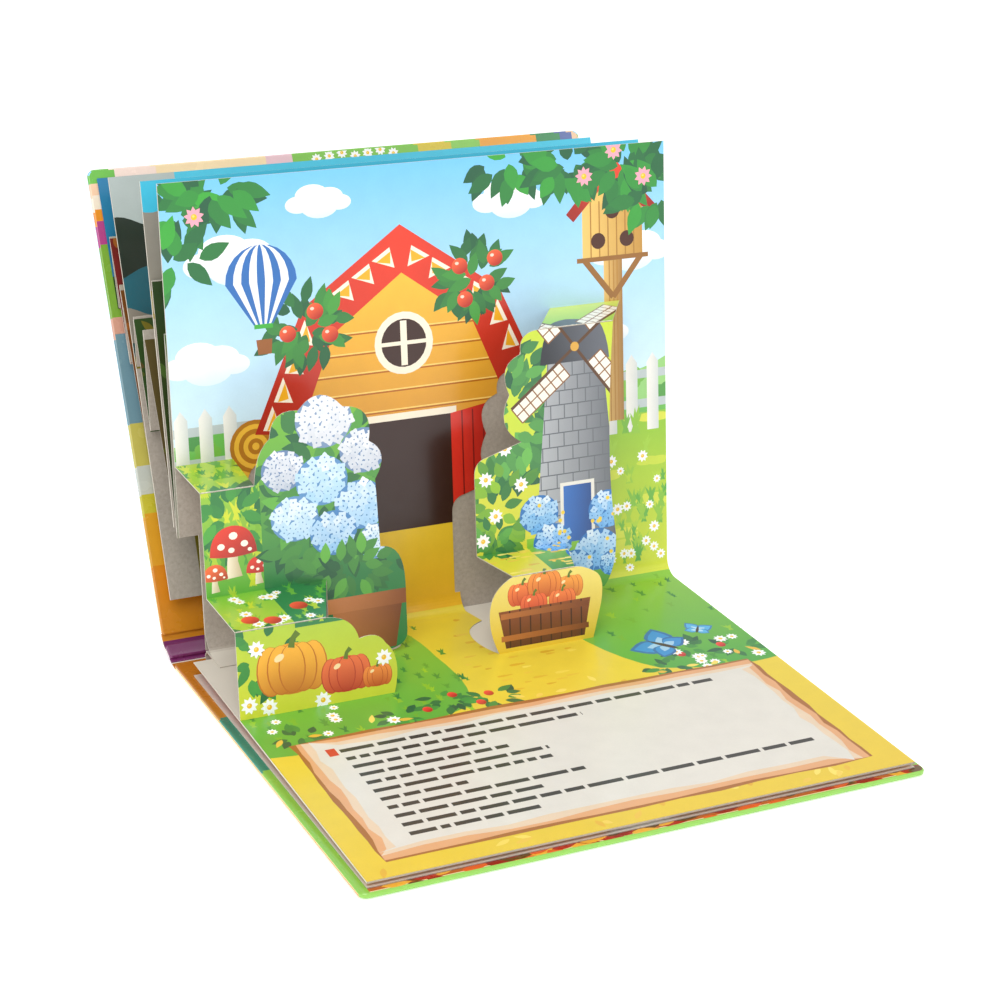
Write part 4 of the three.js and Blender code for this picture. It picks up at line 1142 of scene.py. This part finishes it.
OPEN = open_page_print()
STAIR_INK = stair_print()
TOWER_INK = tower_print()
FORWARD = -LEAF_D.direction
SOFT_GUTTERS = {
    "middle": (BUSH["right"] - 2, (TOWER_LEFT["low_inner"] + TOWER_LEFT["low_edge"]) / 2),
    "right": (TRUNK["right"] - 1, WIDTH),
}
CUT_OUT = [
    *STAIR_PANELS.values(), *TOWER_PANELS.values(),
    *(rectangle(left, -REACH, right, REACH) for left, right in SOFT_GUTTERS.values()),
]
BEND_STEPS = 8

folded_print("open_spread_print", [
    (OPEN, rectangle(0, 0, WIDTH, DEPTH), CUT_OUT, LEAF_C.point),
    (OPEN, rectangle(0, -DEPTH, WIDTH, 0), CUT_OUT, LEAF_D.point),
    *((OPEN, rectangle(left, REACH * (2 * i / BEND_STEPS - 1), right, REACH * (2 * (i + 1) / BEND_STEPS - 1)), [],
       round_the_gutter) for left, right in SOFT_GUTTERS.values() for i in range(BEND_STEPS)),
], "block")

for side, (left, right) in SOFT_GUTTERS.items():
    made_by(BENT_CARD, "soft_gutter_" + side, Left=at(left, 0, 0).x, Length=(right - left) * MM,
            Radius=(BEND + CARD / 2) * MM, Thickness=CARD * MM, Start=LYING, Turn=TURN,
            Centre=(0.0, *at(left, *BEND_CENTRE).yz), Steps=2 * BEND_STEPS + 1)

FOLD_CRACK = 0.22
FLECK_SPACING = 0.7
for name, size, outlines, ink, lefts, rights in (
    ("stair", STAIR, STAIR_PANELS, STAIR_INK, STAIR_LEFT, STAIR_RIGHT),
    ("tower", TOWER, TOWER_PANELS, TOWER_INK, TOWER_LEFT, TOWER_RIGHT),
):
    leaves, flat = pop_up_leaves(size, LEAF_D, FORWARD, LEAF_C), fold_lines(size)
    panels = [(ink, outlines[fold], [], leaves[fold].point) for fold in outlines]
    folded_print(name + "_print", panels, "block")
    for fold, behind in (("low_edge", "low_inner"), ("high_edge", "page")):
        start, end = (
            leaves[fold].point(x, flat[fold], CARD).lerp(leaves[behind].point(x, flat[fold], CARD), 0.5)
            for x in (lefts[fold] + 0.5, rights[fold] - 0.5))
        made_by(CRACKED_FOLD, f"{name}_{fold}_crack", Start=start, End=end, Radius=FOLD_CRACK * MM,
                Count=round((end - start).length / (FLECK_SPACING * MM)), Seed=len(name + fold))


# The closed spreads, of which the edges show

NOTCH = {"c": (8.0, 48.7), "b": (14.0, 52.0), "a": (20.0, 15.4), "d": (8.0, 8.0), "lining": (20.0, 135.0)}
CLOSED_POP_UPS = {
    "first": (
        {"left": 0.0, "right": 20.0, "high_tread": 30.0, "low_tread": 33.0, "high_riser": 53.0, "low_riser": 82.0},
        {"left": 128.0, "right": 176.0, "high_tread": 26.0, "low_tread": 30.0, "high_riser": 70.0, "low_riser": 50.0},
    ),
    "second": (
        {"left": 0.0, "right": 14.0, "high_tread": 22.0, "low_tread": 42.0, "high_riser": 46.0, "low_riser": 65.0},
        {"left": 140.0, "right": 192.0, "high_tread": 24.0, "low_tread": 34.0, "high_riser": 84.0, "low_riser": 40.0},
    ),
    "third": (
        {"left": 0.0, "right": 12.5, "high_tread": 15.0, "low_tread": 83.0, "high_riser": 103.0, "low_riser": 33.0},
        {"left": 116.0, "right": 170.0, "high_tread": 28.0, "low_tread": 26.0, "high_riser": 76.0, "low_riser": 44.0},
    ),
}


def notched(name):
    """A page from the gutter up, less the opening at its lower left."""
    width, length = NOTCH[name]
    return line((width, 0), (WIDTH, 0), (WIDTH, DEPTH), (0, DEPTH), (0, length), (width, length))


def turned(points):
    return [Vector((p.x, -p.y)) for p in points]


def facing_back(leaf):
    """Places a print on the back of a leaf, with v from the gutter forward as on a lower page."""
    return lambda x, v: leaf.point(x, -v, -INK_LIFT)


def closed_pop_up_print(seed, low_colour, high_colour, accent):
    """A closed spread's pop-ups in print, darkened with painted shade: a field for their low halves and one for the
    high, with leaves.
    """
    d = Drawing(seed)
    d.fill(rectangle(-1, -140, WIDTH, 20), low_colour)
    d.fill(rectangle(-1, 20, WIDTH, 200), high_colour)
    for i in range(40):
        colour = mix(low_colour if i % 2 else high_colour, accent, d.random.random())
        d.leaf(d.random.uniform(0, 22), d.random.uniform(-130, 150), 7, 3, d.random.uniform(0, math.tau), colour)
    return d


def closed_pop_ups(name, low, high, ink):
    """The panels of a closed spread's stair and tower, each a little short of its folds."""
    for size in CLOSED_POP_UPS[name]:
        leaves, flat = pop_up_leaves(size, low, low.direction, high), fold_lines(size)
        for front, back in zip(FOLDS, FOLDS[1:]):
            panel = rectangle(size["left"] + 0.3, flat[front] + 0.3, size["right"] - 0.3, flat[back] - 0.3)
            yield ink, panel, [], leaves[back].point


def upper_hole(name):
    """Where a closed stair was cut out of its upper page, so that the bare card behind shows."""
    stair = CLOSED_POP_UPS[name][0]
    return rectangle(-1, -1, stair["right"], stair["low_riser"] + stair["high_riser"])


# The left-edge bands are print with painted light: on page a the silver-grey top band is a painted reflection, and the
# near-black greens and dark teal of pages a and lining are print darkened with painted shade.
UPPER = {
    "b": closed_page_print(31, "#48C3E0", "#2F9FB8", "#8CD6EE", (
        (180, "#9C9284"), (148, "#A08F3A"), (128, "#2E4A1C"))),
    "a": closed_page_print(21, "#48C3E0", "#5E7F86", "#2F5F5B", (
        (194, "#AEB9B6"), (171, "#1E2A22"), (150, "#22606E"), (134, "#8E8578"), (124, "#1E4A4A"), (114, "#7A6E1E"))),
    "lining": closed_page_print(11, "#1F78A8", "#4A8A3A", "#E0C23A", (
        (150, "#2C4A22"), (120, "#24361C"))),
}
LOWER = {
    "c": closed_ground_print(32, "#3C9FC0", "#8CC63A"),
    "b": closed_ground_print(22, "#6F8F5A", "#3C4A4A"),
    "a": closed_ground_print(14, "#7CBF3A", "#F2B25A"),
}
# The closed pop-ups' dark fields passed below are print darkened with painted shade of the narrow gaps between the
# leaves.
folded_print("third_spread_print", [
    (UPPER["b"], notched("b"), [upper_hole("third")], LEAF_B.point),
    (LOWER["c"], turned(notched("c")), [], facing_back(BACK_OF_C)),
    *closed_pop_ups("third", LEAF_C, LEAF_B, closed_pop_up_print(33, "#4A6A2A", "#34441C", "#6B2A1E")),
], "block")
folded_print("second_spread_print", [
    (UPPER["a"], notched("a"), [upper_hole("second")], LEAF_AA.point),
    (LOWER["b"], turned(notched("b")), [], facing_back(BACK_OF_B)),
    *closed_pop_ups("second", LEAF_B, LEAF_AA, closed_pop_up_print(23, "#5A4A22", "#2E4A1C", "#7A6E1E")),
], "block")
folded_print("first_spread_low_print", [
    (LOWER["a"], turned(notched("a")), [], facing_back(BACK_OF_A)),
    *closed_pop_ups("first", LEAF_AA, INSIDE_COVER, closed_pop_up_print(13, "#7A4218", "#7A1420", "#B0642A")),
], "block")
folded_print("first_spread_high_print", [
    (UPPER["lining"], notched("lining"), [], LINING.point),
], "front_cover")
folded_print("fifth_spread_print", [
    (closed_page_print(51, "#F2A83A", "#D9482A", "#F4D35A"), notched("d"), [],
     lambda x, v: LEAF_D.point(x, -v, -INK_LIFT - 2 * CARD)),
    (closed_ground_print(52, "#E8662A", "#F2B23A"), turned(notched("d")), [], LAST_PAGE.point),
], "block")


# The case: one printed sheet wrapped round two boards and the spine board. Its drawing has s across
# the spine, from the back board's front edge at -(COVER + HINGE) to the front board's top edge.

BACK_END = -(COVER + HINGE)
FRONT_END = SPINE + COVER
CASE_LEFT = -COVER_SIDE
CASE_RIGHT = WIDTH + COVER_SIDE
TURN_IN = 16.0
CREASE_SETBACK = 3.0
BACK_BOARD = Leaf(BACK_CREASE, (1.0, 0.0), 0.0)
SPINE_BOARD = Leaf(BACK_CREASE, leaning(90 - SPINE_SLOPE), 0.0)
FRONT_BOARD = Leaf(FRONT_CREASE - COVER_UP * SPINE, COVER_UP, 0.0)

# The wrap's colours up the front board's left edge, as shares of the board's height
EDGE_COLOURS = (
    (0.0, "#D98A1E"), (0.16, "#DDA22A"), (0.27, "#C9C23A"), (0.31, "#C9CFC6"), (0.37, "#C9BE5A"), (0.46, "#6F95A3"),
    (0.65, "#D9A08A"), (0.685, "#7FAF3A"), (0.84, "#B8408A"), (0.89, "#F0922A"), (0.915, "#F6E3D2"),
    (0.945, "#F4C9A8"), (0.975, "#6DBB4A"), (1.2, ""),
)

# Its colours along the front board's top edge, from x in millimetres
TOP_COLOURS = (
    (-22.0, "#6DBB4A"), (8.0, "#F6DCD2"), (26.0, "#F7DCB0"), (75.0, "#E9C3CB"), (87.0, "#7FC24A"), (146.0, "#D9C23A"),
    (162.0, "#8CCB5A"), (176.0, "#F2A63A"), (204.0, "#3F8F5A"), (216.0, "#5F6FA8"), (222.0, "#E9C3A0"), (246.0, ""),
)


def edge_fields(d, x0, x1):
    """The wrap's colours along the boards' and spine's side edges, between two places on the sheet."""
    d.fill(rectangle(x0, BACK_END - TURN_IN, x1, -105), "#8CC84A")
    d.fill(rectangle(x0, -105, x1, -57), "#2F8F74")
    d.fill(rectangle(x0, -57, x1, 0), Fade("#C98A2C", "#C0701C", (0, -57), (0, 0)))
    d.fill(rectangle(x0, 0, x1, SPINE), "#7C2A66")
    for (start, colour), (end, _) in zip(EDGE_COLOURS, EDGE_COLOURS[1:]):
        d.fill(rectangle(x0, SPINE + COVER * start, x1, SPINE + COVER * end), colour)
    for i in range(15):
        s = SPINE + COVER * (0.475 + 0.17 * i / 14)
        d.ellipse((x0 + x1) / 2 + (i % 2 - 0.5) * 2.4, s, 1.0, 1.0, "#C6D3D6", sides=8)


def top_fields(d, s0, s1):
    """The wrap's colours along the front board's top edge."""
    for (start, colour), (end, _) in zip(TOP_COLOURS, TOP_COLOURS[1:]):
        d.fill(rectangle(start, s0, end, s1), colour)
    for i in range(7):
        daisy(d, 98 + 6 * i, (s0 + s1) / 2 + i % 3 - 1, 2.6)


def case_print():
    """The cover's own print: plain meadow and sky fields, a sun, flowers, and bare panels for a title."""
    d = Drawing(7)
    rnd = d.random
    low, high = BACK_END - TURN_IN, FRONT_END + TURN_IN
    left, right = CASE_LEFT - TURN_IN, CASE_RIGHT + TURN_IN
    d.fill(rectangle(left, low, right, 0), Fade("#F2912A", "#F7C84A", (0, low), (0, 0)))
    d.fill(rectangle(left, 0, right, SPINE), "#7C2A66")
    d.fill(rectangle(left, SPINE, right, high), Fade("#F59A22", "#8FD0F0", (0, SPINE), (0, SPINE + 90)))
    for x, s, size in ((40, SPINE + 165, 16), (176, SPINE + 172, 14), (120, SPINE + 150, 12), (206, SPINE + 130, 12)):
        cloud(d, x, s, size)
    rim = [(x, SPINE + 46 + 8 * math.sin(x / 29)) for x in range(int(left) - 2, int(right) + 8, 5)]
    d.fill([(left, SPINE)] + rim + [(right + 4, SPINE)], Fade("#E8C22E", "#7CBF3A", (0, SPINE), (0, SPINE + 50)))
    d.ellipse(60, SPINE + 128, 19, 19, "#F7C21E", sides=32)
    for i in range(16):
        turn = math.tau * i / 16
        d.leaf(60 + 21 * math.cos(turn), SPINE + 128 + 21 * math.sin(turn), 10, 5, turn, "#F59A22")
    for i in range(60):
        tuft(d, rnd.uniform(0, WIDTH), SPINE + rnd.uniform(4, 46), rnd.uniform(6, 11), mix("#4DA63E", "#D5DC2C", rnd.random()))
    for x, size in ((30, 15), (66, 10), (160, 17), (196, 11)):
        pumpkin(d, x, SPINE + 24, size)
    for x, size in ((100, 18), (128, 12)):
        toadstool(d, x, SPINE + 14, size)
    d.fill(rectangle(96, SPINE + 92, 204, SPINE + 128), "#E05A8A")
    d.fill(rectangle(98, SPINE + 94, 202, SPINE + 126), "#FBF2E2")
    d.fill(rectangle(24, -150, WIDTH - 24, -60), "#FBF2E2")
    for x, s in ((24, -150), (WIDTH - 24, -150), (24, -60), (WIDTH - 24, -60)):
        daisy(d, x, s, 13, petal="#E05A8A")
    for i in range(5):
        daisy(d, 30 + i * 40, -28, 9)
        daisy(d, 30 + i * 40, -180, 9)
    d.fill(rectangle(left, low, right, BACK_END + 3), "#8CC84A")
    d.fill(rectangle(left, SPINE, right, SPINE + CREASE_SETBACK + 2), "#D98A1E")
    edge_fields(d, left, CASE_LEFT - 1)
    edge_fields(d, CASE_RIGHT + 1, right)
    top_fields(d, FRONT_END + 1, high)
    return d


def turn_in_print():
    """What shows of the boards' inner side around the pages: the wrap's turned-in edges."""
    d = Drawing(8)
    left, right = CASE_LEFT - 1, CASE_RIGHT + 1
    d.fill(rectangle(left, BACK_END - 1, right, FRONT_END + 1), "#EDE6D6")
    d.fill(rectangle(left, 0, right, SPINE), "#7C2A66")
    edge_fields(d, left, CASE_LEFT + 26)
    edge_fields(d, CASE_RIGHT - TURN_IN, right)
    d.fill(rectangle(left, BACK_END - 1, right, BACK_END + TURN_IN), "#8CC84A")
    d.fill(rectangle(0, BACK_END + 0.9, WIDTH, BACK_END + TURN_IN), "#F3E3B0")
    d.fill(rectangle(0, BACK_END + 1.3, WIDTH, BACK_END + TURN_IN), "#C0662A")
    for i in range(70):
        colour = ("#9C2A1A", "#E8662A", "#F2B23A", "#6A4A1E", "#B8321E")[i % 5]
        d.leaf(d.random.uniform(0, WIDTH), BACK_END + d.random.uniform(1, 6), 11, 4, d.random.uniform(-0.5, 0.5), colour)
    top_fields(d, FRONT_END - 6, FRONT_END + 1)
    return d


CASE = case_print()
TURNED_IN = turn_in_print()


def colour_at(drawing, x, s):
    """The topmost ink at a point of a print."""
    spot = Vector((x, s))
    for points, paint, box in reversed(drawing.shapes):
        if overlap(box, (x, s, x, s)) and inside(spot, points):
            return paint.shade(x, s)
    return linear("#EDE6D6")


def board_outline(start, end, start_radius, end_radius):
    """A board's outline in (x, s) where its edges begin to round off, with one corner radius an end."""
    x0, x1 = CASE_LEFT + EDGE_ROUND, CASE_RIGHT - EDGE_ROUND
    s0, s1 = start + EDGE_ROUND, end - EDGE_ROUND
    rim = []
    for x, s, turn, radius in (
        (x0, s0, 180, start_radius), (x1, s0, 270, start_radius), (x1, s1, 0, end_radius), (x0, s1, 90, end_radius),
    ):
        centre = Vector((x + radius * (1 if x == x0 else -1), s + radius * (1 if s == s0 else -1)))
        for i in range(7):
            angle = math.radians(turn + 15 * i)
            rim.append(centre + Vector((math.cos(angle), math.sin(angle))) * radius)
    return rim


def walked(rim, step=3.0):
    """The outline with points added, so that no side is longer than step."""
    points = []
    for a, b in zip(rim, rim[1:] + rim[:1]):
        count = max(1, round((b - a).length / step))
        points += [a.lerp(b, i / count) for i in range(count)]
    return points


def flipped(faces):
    return [(spots[::-1], inks[::-1]) for spots, inks in faces]


def quads(corner, rows, columns):
    """Triangles of a grid of corners, corner(row, column) giving a point and the ink beyond it."""
    for row in range(rows):
        for column in range(columns):
            four = [corner(row, column), corner(row, column + 1), corner(row + 1, column + 1), corner(row + 1, column)]
            for pick in ((0, 1, 2), (0, 2, 3)):
                yield [four[k][0] for k in pick], [four[0][1]] * 3


def wrapped_board(name, leaf, start, end, start_radius, end_radius, body, node):
    """A board under its wrap: the printed outside, rounded edges, and the turned-in inner side."""
    rim = walked(board_outline(start, end, start_radius, end_radius))
    outwards = []
    for i in range(len(rim)):
        side = (rim[(i + 1) % len(rim)] - rim[i - 1]).normalized()
        outwards.append(Vector((side.y, -side.x)))
    quarter = [math.radians(angle) for angle in (0, 30, 60, 90)]
    profile = [(EDGE_ROUND * math.sin(a), EDGE_ROUND * (1 - math.cos(a))) for a in quarter]
    profile += [(EDGE_ROUND * math.cos(a), BOARD - EDGE_ROUND * (1 - math.sin(a))) for a in quarter]

    def corner(level, i):
        reach, height = profile[level]
        p = rim[i % len(rim)] + outwards[i % len(rim)] * reach
        sheet = rim[i % len(rim)] + outwards[i % len(rim)] * (reach + height)
        return leaf.point(p.x, p.y, height), colour_at(CASE, sheet.x, sheet.y)

    triangles = flipped(printed_faces(CASE, rim, [], lambda x, s: leaf.point(x, s, 0.0)))
    triangles += printed_faces(TURNED_IN, rim, [], lambda x, s: leaf.point(x, s, BOARD))
    triangles += quads(corner, len(profile) - 1, len(rim))
    piece = inked_mesh(name, triangles, WRAP)
    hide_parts(node)
    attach(piece, body)
    return piece


def crease_wrap(name, crease, before, after):
    """The wrap where it bends between two boards: a thin band from one board's edge to the next."""
    reach, thick, rows = CREASE_SETBACK + EDGE_ROUND, 0.6, 12
    stations = (CASE_LEFT, CASE_LEFT + TURN_IN, CASE_RIGHT - TURN_IN, CASE_RIGHT)

    def spot(x, t, height):
        bend = before.point(x, crease, height).lerp(after.point(x, crease, height), 0.5)
        first, last = before.point(x, crease - reach, height), after.point(x, crease + reach, height)
        return first.lerp(bend, t).lerp(bend.lerp(last, t), t)

    def layer(drawing, height):
        def corner(row, column):
            x, t = stations[column], row / rows
            return spot(x, t, height), colour_at(drawing, x, crease + reach * (2 * t - 1))
        return corner

    def end_cap(x):
        def corner(row, column):
            t = row / rows
            return spot(x, t, thick * column), colour_at(TURNED_IN, x, crease + reach * (2 * t - 1))
        return corner

    triangles = list(quads(layer(CASE, 0.0), rows, len(stations) - 1))
    triangles += flipped(quads(layer(TURNED_IN, thick), rows, len(stations) - 1))
    triangles += flipped(quads(end_cap(CASE_LEFT), rows, 1))
    triangles += quads(end_cap(CASE_RIGHT), rows, 1)
    piece = inked_mesh(name, triangles, WRAP)
    spot(0, 0, 0)
    spot(0, 1, 0)
    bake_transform(piece)
    return piece


wrapped_board("back_board_wrapped", BACK_BOARD, BACK_END, -CREASE_SETBACK, CORNER, 0.6, "block", "back_cover")
wrapped_board("spine_board_wrapped", SPINE_BOARD, CREASE_SETBACK, SPINE - CREASE_SETBACK, 0.6, 0.6, "spine", "spine")
wrapped_board("front_board_wrapped", FRONT_BOARD, SPINE + CREASE_SETBACK, FRONT_END, 0.6, CORNER, "front_cover", "front_cover")
crease_wrap("back_crease_wrap", 0.0, BACK_BOARD, SPINE_BOARD)
crease_wrap("front_crease_wrap", SPINE, SPINE_BOARD, FRONT_BOARD)

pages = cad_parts["pages"]
pages.data.materials.clear()
pages.data.materials.append(GREYBACK)


# Camera, floor and light

TARGET = at(138.2, 5.8, 56.4)
AZIMUTH, ELEVATION, ROLL = math.radians(-25.71), math.radians(20.70), math.radians(1.124)
BACKWARD = Vector((
    math.sin(AZIMUTH) * math.cos(ELEVATION), -math.cos(AZIMUTH) * math.cos(ELEVATION), math.sin(ELEVATION),
))
LEVEL = Vector((math.cos(AZIMUTH), math.sin(AZIMUTH), 0.0))
RIGHTWARD = LEVEL * math.cos(ROLL) + BACKWARD.cross(LEVEL) * math.sin(ROLL)
UPWARD = BACKWARD.cross(RIGHTWARD)

camera = bpy.data.objects.new("camera", bpy.data.cameras.new("camera"))
bpy.context.scene.collection.objects.link(camera)
camera.matrix_world = Matrix.Translation(TARGET + BACKWARD * 989.6 * MM) @ Matrix(
    (RIGHTWARD, UPWARD, BACKWARD)).transposed().to_4x4()
camera.data.lens = 84.22
camera.data.shift_x = 0.0077
camera.data.shift_y = -0.0079
camera.data.clip_start = 0.05
bpy.context.scene.camera = camera

floor_mesh = bpy.data.meshes.new("floor")
FLOOR_HALF, FLOOR_LEVEL = 25.0, -0.0004
floor_mesh.from_pydata(
    [(x * FLOOR_HALF, y * FLOOR_HALF, FLOOR_LEVEL) for x, y in ((-1, -1), (1, -1), (1, 1), (-1, 1))], [], [(0, 1, 2, 3)])
floor_mesh.materials.append(painted_floor())
floor = bpy.data.objects.new("floor", floor_mesh)
bpy.context.scene.collection.objects.link(floor)

SOFTBOXES = (
    ("key_softbox", (-0.7, -0.9, 1.3), 1.1, 13.0),
    ("fill_softbox", (1.2, -0.8, 0.9), 1.3, 5.0),
    ("top_softbox", (0.0, 0.2, 1.9), 1.4, 8.0),
)
for name, place, size, power in SOFTBOXES:
    lamp = bpy.data.lights.new(name, "AREA")
    lamp.shape = "SQUARE"
    lamp.size = size
    lamp.energy = power
    lamp_object = bpy.data.objects.new(name, lamp)
    lamp_object.location = place
    lamp_object.rotation_euler = (Vector((0.0, 0.0, 0.08)) - Vector(place)).to_track_quat("-Z", "Y").to_euler()
    bpy.context.scene.collection.objects.link(lamp_object)

world = bpy.data.worlds.new("studio")
world.use_nodes = True
world.node_tree.nodes["Background"].inputs["Color"].default_value = (1.0, 1.0, 1.0, 1.0)
world.node_tree.nodes["Background"].inputs["Strength"].default_value = 0.62
bpy.context.scene.world = world
bpy.context.scene.view_settings.view_transform = "Standard"
